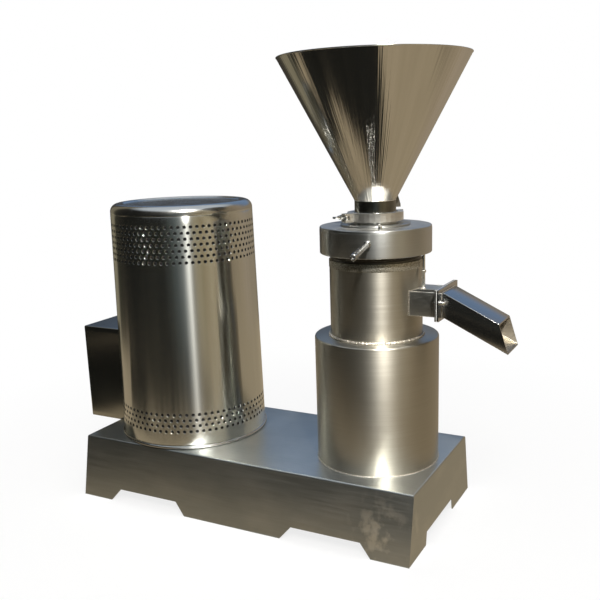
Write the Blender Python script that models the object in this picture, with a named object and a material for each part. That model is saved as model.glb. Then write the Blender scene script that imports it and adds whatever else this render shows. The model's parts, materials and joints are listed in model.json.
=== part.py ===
"""A vertical nut butter mill in stainless steel.

A motor under a perforated cover drives the mill by belts inside a folded base. The mill grinds
between a turning toothed rotor and a toothed stator, whose gap the adjusting ring sets.

Metres, Z up. The origin lies on the floor, under the middle of the machine. X runs along the
base from the motor to the mill, and Y away from the front.
"""

import math

import bmesh
import bpy
from mathutils import Matrix, Vector

# Seats, and how far a cutter passes its work
SEAT_GAP = 0.0003
RUNNING_GAP = 0.0005
OVERRUN = 0.004
MERGE = 0.000001
FULL_TURN = 2 * math.pi
SHARP_ANGLE = math.radians(30)
LARGE_STEPS = 48
MEDIUM_STEPS = 24
SMALL_STEPS = 16
BOLT_STEPS = 10
HEX_STEPS = 6

# Base: a folded tray, open below, whose long sides lean out to the floor
BASE_LENGTH = 0.990
BASE_TOP_WIDTH = 0.408
BASE_FLOOR_WIDTH = 0.474
BASE_HEIGHT = 0.169
BASE_SHEET = 0.003
BASE_BEND = 0.0045
BEND_STEPS = 2
NOTCH_HEIGHT = 0.034
NOTCH_SLANT = 0.030
SIDE_NOTCH_LENGTH = 0.250
SIDE_FOOT_LENGTH = 0.098
END_FOOT_FRONT = 0.118
END_FOOT_BACK = 0.142
END_NOTCH_SLANT = 0.006
MOTOR_FROM_END = 0.2324
MILL_FROM_END = 0.1753

# Motor cover: a tapering drum with a rolled bead at its foot
COVER_FOOT_RADIUS = 0.2055
COVER_TOP_RADIUS = 0.1950
COVER_TOP_HEIGHT = 0.822
COVER_SHEET = 0.002
COVER_BEAD = 0.004
COVER_SHOULDER = 0.022
COVER_RIM_WIDTH = 0.010
COVER_PANEL_DEPTH = 0.004
SHOULDER_STEPS = 4

# Motor
MOTOR_FLANGE_RADIUS = 0.172
MOTOR_FLANGE_THICKNESS = 0.016
MOTOR_BORE_RADIUS = 0.028
MOTOR_SHAFT_RADIUS = 0.021
MOTOR_CORE_RADIUS = 0.126
MOTOR_FIN_RADIUS = 0.146
MOTOR_FIN_COUNT = 24
MOTOR_FIN_SHARE = 0.3
MOTOR_CORE_LENGTH = 0.380
MOTOR_SHAFT_HOLE = 0.045
MOTOR_BOLT_CIRCLE = 0.160
MOTOR_BOLT_RADIUS = 0.006
MOTOR_BOLT_HEAD = 0.010
MOTOR_BOLT_HEAD_HEIGHT = 0.008
BOLT_CLEARANCE = 0.0006
PAD_THICKNESS = 0.010
FAN_RADIUS = 0.105
FAN_HUB_RADIUS = 0.034
FAN_HEIGHT = 0.042
FAN_BLADES = 7
FAN_BLADE_THICKNESS = 0.005
COWL_SHEET = 0.002
COWL_HEIGHT = 0.090
COWL_MOUTH_RADIUS = 0.085

# Belts and pulleys, inside the base
DRIVE_PULLEY_RADIUS = 0.070
DRIVEN_PULLEY_RADIUS = 0.0625
BELT_COUNT = 3
BELT_PITCH = 0.019
BELT_TOP_WIDTH = 0.0165
BELT_FOOT_WIDTH = 0.0105
BELT_DEPTH = 0.0105
GROOVE_CLEARANCE = 0.0005
PULLEY_RIM = 0.0025
PULLEY_FLOOR_HEIGHT = 0.052
BELT_TURN_STEPS = 10

# Lower mill body and the bearing housing that hangs in it
BODY_RADIUS = 0.1571
BODY_WALL = 0.004
BODY_TOP_HEIGHT = 0.4944
BODY_TOP_THICKNESS = 0.008
BODY_LIP = 0.003
HOUSING_RADIUS = 0.0575
HOUSING_FLANGE_RADIUS = 0.088
HOUSING_FLANGE_THICKNESS = 0.012
HOUSING_FOOT_HEIGHT = 0.240
HOUSING_BORE_RADIUS = 0.037
BEARING_RADIUS = 0.045
BEARING_WIDTH = 0.023
BEARING_RACE = 0.006
BEARING_RECESS = 0.002
SPINDLE_RADIUS = 0.020
SPINDLE_NOSE_RADIUS = 0.016
SPINDLE_THREAD_RADIUS = 0.010
SEAL_RADIUS = 0.032
SEAL_HEIGHT = 0.016

# Grinding chamber
CHAMBER_RADIUS = 0.1160
CHAMBER_WALL = 0.004
CHAMBER_FLOOR_DROP = 0.0065
CHAMBER_FLOOR_THICKNESS = 0.006
CHAMBER_FOOT_BEAD = 0.005
CHAMBER_HEIGHT = 0.1841
CHAMBER_BAND_HEIGHT = 0.0095
CHAMBER_BAND_STEP = 0.0008
THREAD_RADIUS = 0.1105
THREAD_WALL = 0.004
THREAD_TOP_DEPTH = 0.0176
THREAD_FOOT_TAPER = 0.006

# Adjusting ring, which screws on the chamber's neck
RING_RADIUS = 0.1386
RING_RISE = 0.0158
RING_HEIGHT = 0.0658
RING_PLATE = 0.0106
RING_TOP_CHAMFER = 0.006
RING_FOOT_CHAMFER = 0.002
RING_HOLE_RADIUS = 0.0765
HANDLE_ANGLE = math.radians(-75)
HANDLE_DEPTH = 0.0296
HANDLE_LENGTH = 0.205
HANDLE_RADIUS = 0.0065
HANDLE_TIP_RADIUS = 0.0075
HANDLE_ROOT_RADIUS = 0.0050
HANDLE_ROOT_DEPTH = 0.018
HANDLE_COLLAR_RADIUS = 0.0085
HANDLE_COLLAR_LENGTH = 0.010
LOCK_SCREW_RADIUS = 0.005
LOCK_SCREW_HEIGHT = 0.009
LOCK_SCREW_DEPTH = 0.008
LOCK_SCREW_CIRCLE = 0.120
LOCK_SCREW_ANGLE = math.radians(-62)

# Rotor and stator
ROTOR_FOOT_RADIUS = 0.0650
ROTOR_TOP_RADIUS = 0.0480
ROTOR_RISE = 0.023
ROTOR_HEIGHT = 0.065
ROTOR_TEETH = 20
TOOTH_DEPTH = 0.004
TOOTH_SKEW = math.radians(14)
PADDLE_COUNT = 4
PADDLE_LENGTH = 0.095
PADDLE_THICKNESS = 0.006
PADDLE_HEIGHT = 0.014
GRINDING_GAP = 0.0012
STATOR_TEETH = 24
STATOR_RADIUS = 0.0850
STATOR_HEIGHT = 0.075
NUT_RADIUS = 0.024
NUT_HEIGHT = 0.030

# Stator holder, with the feed throat and the lower ferrule
HOLDER_CUP_RADIUS = 0.093
HOLDER_FLANGE_THICKNESS = 0.020
HOLDER_HUB_RADIUS = 0.0745
THROAT_RADIUS = 0.047
NECK_RADIUS = 0.0545
CAP_RING_RADIUS = 0.086
CAP_RING_THICKNESS = 0.004
CAP_SCREW_CIRCLE = 0.0655
CAP_SCREW_RADIUS = 0.0025
CAP_SCREW_HEAD = 0.0045
CAP_SCREW_HEAD_HEIGHT = 0.0035
CAP_SCREW_ANGLES = tuple(math.radians(degrees) for degrees in (-60, 60, 180))

# Ferrules, their gasket and the clamp
FERRULE_RADIUS = 0.0595
FERRULE_RIM = 0.0053
FERRULE_SLOPE = 0.0023
FERRULE_JOINT_RISE = 0.0212
CLAMP_GASKET = 0.0012
CLAMP_RADIUS = 0.0690
CLAMP_LIP_RADIUS = 0.0562
CLAMP_LIP = 0.0024
CLAMP_ANGLE = math.radians(-125)
CLAMP_SPLIT = 0.0015
CLAMP_STEPS = 16
EAR_THICKNESS = 0.0085
EAR_REACH = 0.0212
CLAMP_BOLT_CIRCLE = 0.086
CLAMP_BOLT_RADIUS = 0.0035
CLAMP_BOLT_LENGTH = 0.040
EYE_RADIUS = 0.0060
EYE_HEIGHT = 0.0085
EYE_SLOT_CLEARANCE = 0.0005
PIN_RADIUS = 0.0025
PIN_OFFSET = 0.0062
HINGE_CIRCLE = 0.0745
HINGE_KNUCKLE_RADIUS = 0.0065
CLAMP_NUT_GAP = 0.0010
CLAMP_NUT_RADIUS = 0.0068
CLAMP_NUT_LENGTH = 0.011
CLAMP_WING_SPAN = 0.0165
CLAMP_WING_THICKNESS = 0.0030

# Hopper
HOPPER_NECK_RADIUS = 0.0508
HOPPER_NECK_LENGTH = 0.0398
HOPPER_RIM_RADIUS = 0.2298
HOPPER_CONE_HEIGHT = 0.3371
HOPPER_SHEET = 0.002
HOPPER_RIM_BEAD = 0.0015
GUSSET_ANGLE = math.radians(40)
GUSSET_THICKNESS = 0.004
GUSSET_REACH = 0.014
GUSSET_DROP = 0.020
GUSSET_RISE = 0.012

# Outlet duct and chute
DUCT_WIDTH = 0.100
DUCT_RISE = 0.0641
DUCT_HEIGHT = 0.060
DUCT_WALL = 0.003
DUCT_FLANGE_FROM_AXIS = 0.1775
FLANGE_THICKNESS = 0.004
FLANGE_HALF_WIDTH = 0.074
FLANGE_RISE = 0.011
FLANGE_DROP = 0.005
FLANGE_GASKET = 0.0012
CHUTE_WALL = 0.0025
CHUTE_STUB = 0.006
CHUTE_SLOPE = math.radians(26)
CHUTE_TOP_REACH = 0.324
CHUTE_FOOT_REACH = 0.3461
FLANGE_BOLT_INSET = 0.0118
FLANGE_BOLT_RISE = 0.0385
FLANGE_BOLT_RADIUS = 0.0030
FLANGE_BOLT_HEAD = 0.0050
FLANGE_BOLT_HEAD_HEIGHT = 0.0045
FLANGE_BOLT_TAIL = 0.013
FLANGE_NUT_RADIUS = 0.0050
FLANGE_NUT_LENGTH = 0.008
FLANGE_WING_SPAN = 0.0105
FLANGE_WING_THICKNESS = 0.0022

# Index post on the duct
POST_FROM_AXIS = 0.1255
POST_RADIUS = 0.0034
POST_CLEARANCE = 0.0012
POST_COLLAR_RADIUS = 0.0055
POST_COLLAR_SHARE = 0.4865
POST_COLLAR_THICKNESS = 0.006
POST_SIDE_ROD_RADIUS = 0.0018
POST_SIDE_ROD_SPACING = 0.0105

# Control box on the cover's side
BOX_REACH = 0.3309
BOX_WIDTH = 0.150
BOX_FOOT_HEIGHT = 0.1722
BOX_TOP_HEIGHT = 0.4535
BOX_SHEET = 0.002
BOX_BACK_CLEARANCE = 0.010
LID_SHEET = 0.0025
BUTTON_SPACING = 0.060
START_BUTTON_HEIGHT = 0.380
BUTTON_HOLE_RADIUS = 0.0112
BEZEL_RADIUS = 0.0145
BEZEL_HEIGHT = 0.006
BARREL_RADIUS = 0.0109
BARREL_DEPTH = 0.016
BUTTON_RADIUS = 0.0092
BUTTON_CLEARANCE = 0.0004
BUTTON_DEPTH = 0.014
START_BUTTON_RISE = 0.0008
STOP_BUTTON_RISE = 0.0045
BUTTON_TRAVEL = 0.0035
CONTACT_WIDTH = 0.030
CONTACT_DEPTH = 0.034
CONTACT_MARGIN = 0.012
GLAND_SHARE = 0.5076
GLAND_FROM_FRONT = 0.112
GLAND_RADIUS = 0.011
GLAND_THREAD_RADIUS = 0.0080
GLAND_BORE_RADIUS = 0.0045
GLAND_DROP = 0.020
GLAND_RISE = 0.010
GLAND_NUT_HEIGHT = 0.008

# Places along X, with the machine's middle over the origin
MOTOR_FROM_MIDDLE = BASE_LENGTH / 2 - MOTOR_FROM_END
MILL_FROM_MIDDLE = BASE_LENGTH / 2 - MILL_FROM_END
LEFT_REACH = MOTOR_FROM_MIDDLE + BOX_REACH + BEZEL_HEIGHT + STOP_BUTTON_RISE
RIGHT_REACH = MILL_FROM_MIDDLE + CHUTE_FOOT_REACH
BASE_X = (LEFT_REACH - RIGHT_REACH) / 2
MOTOR_X = BASE_X - MOTOR_FROM_MIDDLE
MILL_X = BASE_X + MILL_FROM_MIDDLE
BASE_LEFT = BASE_X - BASE_LENGTH / 2
BASE_RIGHT = BASE_X + BASE_LENGTH / 2
BASE_FLARE = (BASE_FLOOR_WIDTH - BASE_TOP_WIDTH) / 2

# Heights and radii that follow from the sizes above
BASE_SEAT = BASE_HEIGHT + SEAT_GAP
COVER_WALL_FOOT = BASE_SEAT + 2 * COVER_BEAD
MOTOR_TOP = BASE_SEAT + MOTOR_FLANGE_THICKNESS
MOTOR_CORE_FOOT = MOTOR_TOP + SEAT_GAP
MOTOR_CORE_TOP = MOTOR_CORE_FOOT + MOTOR_CORE_LENGTH
PULLEY_HEIGHT = BELT_COUNT * BELT_PITCH + 2 * PULLEY_RIM
BELT_FOOT_HEIGHT = PULLEY_FLOOR_HEIGHT + PULLEY_RIM + BELT_PITCH / 2
HOUSING_FOOT = BODY_TOP_HEIGHT + SEAT_GAP
HOUSING_TOP = HOUSING_FOOT + HOUSING_FLANGE_THICKNESS
UPPER_BEARING_TOP = HOUSING_TOP - BEARING_RECESS
LOWER_BEARING_FOOT = HOUSING_FOOT_HEIGHT + BEARING_RECESS
DUCT_FOOT_HEIGHT = BODY_TOP_HEIGHT + DUCT_RISE
DUCT_TOP_HEIGHT = DUCT_FOOT_HEIGHT + DUCT_HEIGHT
FLANGE_BOLT_HEIGHT = DUCT_FOOT_HEIGHT + FLANGE_BOLT_RISE
CHAMBER_FLOOR_HEIGHT = DUCT_FOOT_HEIGHT - CHAMBER_FLOOR_DROP
CHAMBER_BAND_FOOT = BODY_TOP_HEIGHT + CHAMBER_HEIGHT
RING_FOOT_HEIGHT = CHAMBER_BAND_FOOT + CHAMBER_BAND_HEIGHT + RING_RISE
RING_TOP_HEIGHT = RING_FOOT_HEIGHT + RING_HEIGHT
THREAD_TOP_HEIGHT = RING_TOP_HEIGHT - THREAD_TOP_DEPTH
HANDLE_HEIGHT = RING_TOP_HEIGHT - HANDLE_DEPTH
POST_COLLAR_HEIGHT = DUCT_TOP_HEIGHT + POST_COLLAR_SHARE * (RING_FOOT_HEIGHT - DUCT_TOP_HEIGHT)
ROTOR_FOOT_HEIGHT = CHAMBER_FLOOR_HEIGHT + ROTOR_RISE
HOLDER_FOOT = ROTOR_FOOT_HEIGHT + BEARING_RECESS
STATOR_TOP = HOLDER_FOOT + STATOR_HEIGHT
HOLDER_TOP = RING_TOP_HEIGHT - RING_PLATE - SEAT_GAP
HUB_TOP = RING_TOP_HEIGHT + SEAT_GAP
CAP_RING_TOP = HUB_TOP + SEAT_GAP + CAP_RING_THICKNESS
FERRULE_JOINT_HEIGHT = RING_TOP_HEIGHT + FERRULE_JOINT_RISE
HOPPER_CONE_FOOT = FERRULE_JOINT_HEIGHT + HOPPER_NECK_LENGTH
HOPPER_RIM_HEIGHT = HOPPER_CONE_FOOT + HOPPER_CONE_HEIGHT
GASKET_FOOT = FERRULE_JOINT_HEIGHT + SEAT_GAP
UPPER_FERRULE_FOOT = GASKET_FOOT + CLAMP_GASKET + SEAT_GAP
CLAMP_MIDDLE = (FERRULE_JOINT_HEIGHT + UPPER_FERRULE_FOOT) / 2
FERRULE_HALF = CLAMP_MIDDLE - FERRULE_JOINT_HEIGHT + FERRULE_RIM + FERRULE_SLOPE
NECK_BORE_RADIUS = THREAD_RADIUS - THREAD_WALL
DUCT_FLANGE_X = MILL_X + DUCT_FLANGE_FROM_AXIS
FLANGE_GASKET_X = DUCT_FLANGE_X + FLANGE_THICKNESS + SEAT_GAP
CHUTE_FLANGE_X = FLANGE_GASKET_X + FLANGE_GASKET + SEAT_GAP
CHUTE_TUBE_X = CHUTE_FLANGE_X + FLANGE_THICKNESS
LID_LEFT = MOTOR_X - BOX_REACH
BOX_LEFT = LID_LEFT + LID_SHEET + SEAT_GAP


def clear_scene():
    for obj in list(bpy.data.objects):
        bpy.data.objects.remove(obj)


def make_material(name, colour, roughness, metallic):
    material = bpy.data.materials.new(name)
    material.use_nodes = True
    shader = material.node_tree.nodes["Principled BSDF"]
    shader.inputs["Base Color"].default_value = (*colour, 1)
    shader.inputs["Roughness"].default_value = roughness
    shader.inputs["Metallic"].default_value = metallic
    material.diffuse_color = (*colour, 1)
    return material


def add_object(name, shape, material, place=(0, 0, 0), turn=(0, 0, 0)):
    """Makes the bmesh an object, smooth where its faces meet at a shallow angle."""
    bmesh.ops.recalc_face_normals(shape, faces=shape.faces)
    mesh = bpy.data.meshes.new(name)
    shape.to_mesh(mesh)
    shape.free()
    mesh.materials.append(material)
    mesh.shade_smooth()
    mesh.set_sharp_from_angle(angle=SHARP_ANGLE)
    obj = bpy.data.objects.new(name, mesh)
    obj.location = place
    obj.rotation_euler = turn
    bpy.context.scene.collection.objects.link(obj)
    return obj


def shape_with(obj, name, shape, operation, place=None, turn=None):
    """Cuts the shape from the object, or joins it on, by a Boolean modifier."""
    helper = add_object(
        f"{obj.name}_{name}",
        shape,
        obj.data.materials[0],
        obj.location if place is None else place,
        obj.rotation_euler if turn is None else turn,
    )
    helper.hide_render = True
    helper.display_type = "WIRE"
    modifier = obj.modifiers.new(name, "BOOLEAN")
    modifier.operation = operation
    modifier.solver = "EXACT"
    modifier.object = helper
    return helper


def cut(obj, name, shape, place=None, turn=None):
    return shape_with(obj, name, shape, "DIFFERENCE", place, turn)


def join(obj, name, shape, place=None, turn=None):
    return shape_with(obj, name, shape, "UNION", place, turn)


def turned(outline, steps=LARGE_STEPS):
    """A solid turned about Z from (radius, height) points, in order round its outline."""
    shape = bmesh.new()
    points = [shape.verts.new((radius, 0, height)) for radius, height in outline]
    pairs = list(zip(points, points[1:]))
    if outline[0][0] > 0 or outline[-1][0] > 0:
        pairs.append((points[-1], points[0]))
    edges = [shape.edges.new(pair) for pair in pairs]
    bmesh.ops.spin(
        shape, geom=points + edges, cent=(0, 0, 0), axis=(0, 0, 1),
        angle=FULL_TURN, steps=steps, use_merge=True,
    )
    bmesh.ops.remove_doubles(shape, verts=shape.verts, dist=MERGE)
    return shape


def part_turned(outline, start, sweep, steps):
    """A closed stretch of a turned ring, from the angle start through the angle sweep."""
    shape = bmesh.new()
    face = shape.faces.new([shape.verts.new((radius, 0, height)) for radius, height in outline])
    bmesh.ops.rotate(shape, verts=shape.verts, matrix=Matrix.Rotation(start, 3, "Z"))
    bmesh.ops.spin(
        shape, geom=[*shape.verts, *shape.edges, face], cent=(0, 0, 0), axis=(0, 0, 1),
        angle=sweep, steps=steps,
    )
    return shape


def prism(points, along):
    """A solid from a flat outline of 3-D points, swept along a vector."""
    shape = bmesh.new()
    face = shape.faces.new([shape.verts.new(point) for point in points])
    swept = bmesh.ops.extrude_face_region(shape, geom=[face])
    moved = [item for item in swept["geom"] if isinstance(item, bmesh.types.BMVert)]
    bmesh.ops.translate(shape, verts=moved, vec=along)
    return shape


def block(low, high):
    """A box between two corners."""
    outline = [
        (low[0], low[1], low[2]),
        (high[0], low[1], low[2]),
        (high[0], high[1], low[2]),
        (low[0], high[1], low[2]),
    ]
    return prism(outline, (0, 0, high[2] - low[2]))


def rod(radius, start, end, steps=SMALL_STEPS):
    """A round bar between two points."""
    start, end = Vector(start), Vector(end)
    along = end - start
    shape = bmesh.new()
    bmesh.ops.create_cone(
        shape, cap_ends=True, segments=steps, radius1=radius, radius2=radius, depth=along.length,
        matrix=Matrix.Translation((start + end) / 2) @ along.to_track_quat("Z", "Y").to_matrix().to_4x4(),
    )
    return shape


def arc(middle, radius, start, end, steps):
    """Points on a circle round a (radius, height) middle, from one angle to another."""
    angles = [start + (end - start) * step / steps for step in range(steps + 1)]
    return [(middle[0] + radius * math.cos(angle), middle[1] + radius * math.sin(angle)) for angle in angles]


def round_with(radius, angle, height):
    """The point at a radius, an angle and a height."""
    return Vector((radius * math.cos(angle), radius * math.sin(angle), height))


def cover_radius(height):
    """Outer radius of the motor cover's tapering wall at a height."""
    share = (height - COVER_WALL_FOOT) / (COVER_TOP_HEIGHT - COVER_SHOULDER - COVER_WALL_FOOT)
    return COVER_FOOT_RADIUS + (COVER_TOP_RADIUS - COVER_FOOT_RADIUS) * share


def tray_section(inset, top, foot):
    """The tray's section across its length, as (y, z) corners, at this depth inside its outer face."""
    lean = BASE_FLARE / BASE_HEIGHT
    side = inset * math.sqrt(1 + lean * lean)
    corners = []
    for height in (top, foot):
        half = BASE_TOP_WIDTH / 2 + lean * (BASE_HEIGHT - height) - side
        corners.append((half, height))
    (top_half, _), (foot_half, _) = corners
    return [(-foot_half, foot), (foot_half, foot), (top_half, top), (-top_half, top)]


def make_base(steel):
    """The folded tray, notched along its foot so that it stands on six feet."""
    outer = prism(
        [(BASE_LEFT, y, z) for y, z in tray_section(0, BASE_HEIGHT, 0)], (BASE_LENGTH, 0, 0)
    )
    top_edges = [
        edge for edge in outer.edges if all(vert.co.z > BASE_HEIGHT / 2 for vert in edge.verts)
    ]
    bmesh.ops.bevel(
        outer, geom=top_edges, offset=BASE_BEND, segments=BEND_STEPS, profile=0.5, affect="EDGES"
    )
    base = add_object("base_frame", outer, steel)
    hollow = prism(
        [
            (BASE_LEFT + BASE_SHEET, y, z)
            for y, z in tray_section(BASE_SHEET, BASE_HEIGHT - BASE_SHEET, -OVERRUN)
        ],
        (BASE_LENGTH - 2 * BASE_SHEET, 0, 0),
    )
    cut(base, "hollow", hollow)
    reach = BASE_FLOOR_WIDTH / 2 + OVERRUN
    for name, left in (
        ("left_notch", BASE_LEFT + SIDE_FOOT_LENGTH),
        ("right_notch", BASE_RIGHT - SIDE_FOOT_LENGTH - SIDE_NOTCH_LENGTH),
    ):
        right = left + SIDE_NOTCH_LENGTH
        outline = [
            (left, -reach, -OVERRUN),
            (right, -reach, -OVERRUN),
            (right, -reach, 0),
            (right - NOTCH_SLANT, -reach, NOTCH_HEIGHT),
            (left + NOTCH_SLANT, -reach, NOTCH_HEIGHT),
            (left, -reach, 0),
        ]
        cut(base, name, prism(outline, (0, 2 * reach, 0)))
    front = -BASE_FLOOR_WIDTH / 2 + END_FOOT_FRONT
    back = BASE_FLOOR_WIDTH / 2 - END_FOOT_BACK
    start = BASE_LEFT - OVERRUN
    outline = [
        (start, front, -OVERRUN),
        (start, back, -OVERRUN),
        (start, back, 0),
        (start, back - END_NOTCH_SLANT, NOTCH_HEIGHT),
        (start, front + END_NOTCH_SLANT, NOTCH_HEIGHT),
        (start, front, 0),
    ]
    cut(base, "end_notch", prism(outline, (BASE_LENGTH + 2 * OVERRUN, 0, 0)))
    foot = BASE_HEIGHT - BASE_SHEET - OVERRUN
    top = BASE_HEIGHT + OVERRUN
    cut(base, "shaft_hole", rod(MOTOR_SHAFT_HOLE, (MOTOR_X, 0, foot), (MOTOR_X, 0, top), MEDIUM_STEPS))
    cut(base, "housing_hole", rod(HOUSING_RADIUS, (MILL_X, 0, foot), (MILL_X, 0, top), MEDIUM_STEPS))
    for number, (x, y) in enumerate(motor_bolt_places(), 1):
        hole = rod(MOTOR_BOLT_RADIUS + BOLT_CLEARANCE, (x, y, foot), (x, y, top), BOLT_STEPS)
        cut(base, f"bolt_hole_{number}", hole)
    return base


def motor_bolt_places():
    """The four motor bolts, on a circle round the motor shaft."""
    angles = [FULL_TURN * (number + 0.5) / 4 for number in range(4)]
    return [
        (MOTOR_X + MOTOR_BOLT_CIRCLE * math.cos(angle), MOTOR_BOLT_CIRCLE * math.sin(angle))
        for angle in angles
    ]


def make_motor_pad(steel):
    """The ring of thick plate that stiffens the tray's top under the motor."""
    top = BASE_HEIGHT - BASE_SHEET - SEAT_GAP
    foot = top - PAD_THICKNESS
    pad = add_object(
        "motor_pad",
        turned(ring_outline(MOTOR_SHAFT_HOLE, MOTOR_FLANGE_RADIUS, foot, top), MEDIUM_STEPS),
        steel, (MOTOR_X, 0, 0),
    )
    for number, (x, y) in enumerate(motor_bolt_places(), 1):
        start = (x, y, foot - OVERRUN)
        end = (x, y, top + OVERRUN)
        hole = rod(MOTOR_BOLT_RADIUS + BOLT_CLEARANCE, start, end, BOLT_STEPS)
        cut(pad, f"bolt_hole_{number}", hole, (0, 0, 0))


def ring_outline(inner, outer, foot, top):
    return [(inner, foot), (outer, foot), (outer, top), (inner, top)]


def make_motor_cover(steel):
    """The drum over the motor: beaded foot, tapering wall, round shoulder and a sunk top panel."""
    shoulder_height = COVER_TOP_HEIGHT - COVER_SHOULDER
    middle = (COVER_TOP_RADIUS - COVER_SHOULDER, shoulder_height)
    bead_middle = (COVER_FOOT_RADIUS, BASE_SEAT + COVER_BEAD)
    panel_radius = COVER_TOP_RADIUS - COVER_SHOULDER - COVER_RIM_WIDTH
    panel_top = COVER_TOP_HEIGHT - COVER_PANEL_DEPTH
    mitre = COVER_SHEET * math.tan(math.pi / 8)
    outer = [(COVER_FOOT_RADIUS - COVER_SHEET, BASE_SEAT)]
    outer += arc(bead_middle, COVER_BEAD, -math.pi / 2, math.pi / 2, SHOULDER_STEPS)
    outer += arc(middle, COVER_SHOULDER, 0, math.pi / 2, SHOULDER_STEPS)
    outer += [
        (panel_radius, COVER_TOP_HEIGHT),
        (panel_radius - COVER_PANEL_DEPTH, panel_top),
        (0, panel_top),
    ]
    inner = [(0, panel_top - COVER_SHEET)]
    inner += [
        (panel_radius - COVER_PANEL_DEPTH + mitre, panel_top - COVER_SHEET),
        (panel_radius + mitre, COVER_TOP_HEIGHT - COVER_SHEET),
    ]
    inner += arc(middle, COVER_SHOULDER - COVER_SHEET, math.pi / 2, 0, SHOULDER_STEPS)
    return add_object("motor_cover", turned(inner + outer), steel, (MOTOR_X, 0, 0))


def star_outline(core, tip, count, tip_share, height):
    """A ring of square teeth: each fills tip_share of its pitch at the tip radius."""
    pitch = FULL_TURN / count
    points = []
    for number in range(count):
        middle = number * pitch
        half = pitch * tip_share / 2
        points += [
            round_with(core, middle - half, height),
            round_with(tip, middle - half, height),
            round_with(tip, middle + half, height),
            round_with(core, middle + half, height),
        ]
    return points


def make_motor(iron, steel, plastic):
    """The motor: flange, finned housing, cooling fan and cowl, and its shaft down to the pulley."""
    flange = add_object(
        "motor_flange",
        turned(ring_outline(MOTOR_BORE_RADIUS, MOTOR_FLANGE_RADIUS, BASE_SEAT, MOTOR_TOP), MEDIUM_STEPS),
        iron, (MOTOR_X, 0, 0),
    )
    for number, (x, y) in enumerate(motor_bolt_places(), 1):
        start = (x, y, BASE_SEAT - OVERRUN)
        end = (x, y, MOTOR_TOP + OVERRUN)
        hole = rod(MOTOR_BOLT_RADIUS + BOLT_CLEARANCE, start, end, BOLT_STEPS)
        cut(flange, f"hole_{number}", hole, (0, 0, 0))
        add_motor_bolt(number, x, y, steel)
    fins = prism(
        star_outline(MOTOR_CORE_RADIUS, MOTOR_FIN_RADIUS, MOTOR_FIN_COUNT, MOTOR_FIN_SHARE, MOTOR_CORE_FOOT),
        (0, 0, MOTOR_CORE_LENGTH),
    )
    housing = add_object("motor_housing", fins, iron, (MOTOR_X, 0, 0))
    bore_end = (0, 0, MOTOR_CORE_TOP + OVERRUN)
    cut(housing, "bore", rod(MOTOR_BORE_RADIUS, (0, 0, MOTOR_CORE_FOOT - OVERRUN), bore_end))
    shaft_foot = PULLEY_FLOOR_HEIGHT
    fan_foot = MOTOR_CORE_TOP + FAN_HEIGHT / 2
    shaft_top = fan_foot + FAN_HEIGHT
    add_object(
        "motor_shaft", rod(MOTOR_SHAFT_RADIUS, (0, 0, shaft_foot), (0, 0, shaft_top), MEDIUM_STEPS),
        steel, (MOTOR_X, 0, 0),
    )
    make_fan(fan_foot, plastic)
    cowl_foot = MOTOR_CORE_TOP + SEAT_GAP
    cowl_top = cowl_foot + COWL_HEIGHT
    add_object(
        "fan_cowl",
        turned(
            [
                (MOTOR_FIN_RADIUS - COWL_SHEET, cowl_foot),
                (MOTOR_FIN_RADIUS, cowl_foot),
                (MOTOR_FIN_RADIUS, cowl_top),
                (COWL_MOUTH_RADIUS, cowl_top),
                (COWL_MOUTH_RADIUS, cowl_top - COWL_SHEET),
                (MOTOR_FIN_RADIUS - COWL_SHEET, cowl_top - COWL_SHEET),
            ],
            MEDIUM_STEPS,
        ),
        iron, (MOTOR_X, 0, 0),
    )


def add_motor_bolt(number, x, y, steel):
    """A hexagon bolt through the flange and the tray into the pad."""
    foot = BASE_HEIGHT - BASE_SHEET - PAD_THICKNESS
    head = MOTOR_TOP + SEAT_GAP
    bolt = add_object(
        f"motor_bolt_{number}",
        rod(MOTOR_BOLT_HEAD, (0, 0, head), (0, 0, head + MOTOR_BOLT_HEAD_HEIGHT), HEX_STEPS),
        steel, (x, y, 0),
    )
    top = head + MOTOR_BOLT_HEAD_HEIGHT / 2
    join(bolt, "shank", rod(MOTOR_BOLT_RADIUS, (0, 0, foot), (0, 0, top), BOLT_STEPS))


def make_fan(foot, plastic):
    """The cooling fan on the shaft's upper end: a hub with straight radial blades."""
    fan = add_object(
        "motor_fan",
        turned(
            ring_outline(MOTOR_SHAFT_RADIUS + SEAT_GAP, FAN_HUB_RADIUS, foot, foot + FAN_HEIGHT),
            MEDIUM_STEPS,
        ),
        plastic, (MOTOR_X, 0, 0),
    )
    half = FAN_BLADE_THICKNESS / 2
    root = (FAN_HUB_RADIUS + MOTOR_SHAFT_RADIUS) / 2
    for number in range(FAN_BLADES):
        blade = block((root, -half, foot), (FAN_RADIUS, half, foot + FAN_HEIGHT))
        join(fan, f"blade_{number}", blade, turn=(0, 0, FULL_TURN * number / FAN_BLADES))


def groove_outline(radius, bore):
    """A pulley's half section, with a trapezium groove for each belt."""
    foot = PULLEY_FLOOR_HEIGHT
    top = foot + PULLEY_HEIGHT
    mouth = BELT_TOP_WIDTH / 2 + GROOVE_CLEARANCE
    root = BELT_FOOT_WIDTH / 2 + GROOVE_CLEARANCE
    depth = BELT_DEPTH + 2 * GROOVE_CLEARANCE
    points = [(bore, foot), (radius, foot)]
    for number in range(BELT_COUNT):
        middle = BELT_FOOT_HEIGHT + number * BELT_PITCH
        points += [
            (radius, middle - mouth),
            (radius - depth, middle - root),
            (radius - depth, middle + root),
            (radius, middle + mouth),
        ]
    return points + [(radius, top), (bore, top)]


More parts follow.
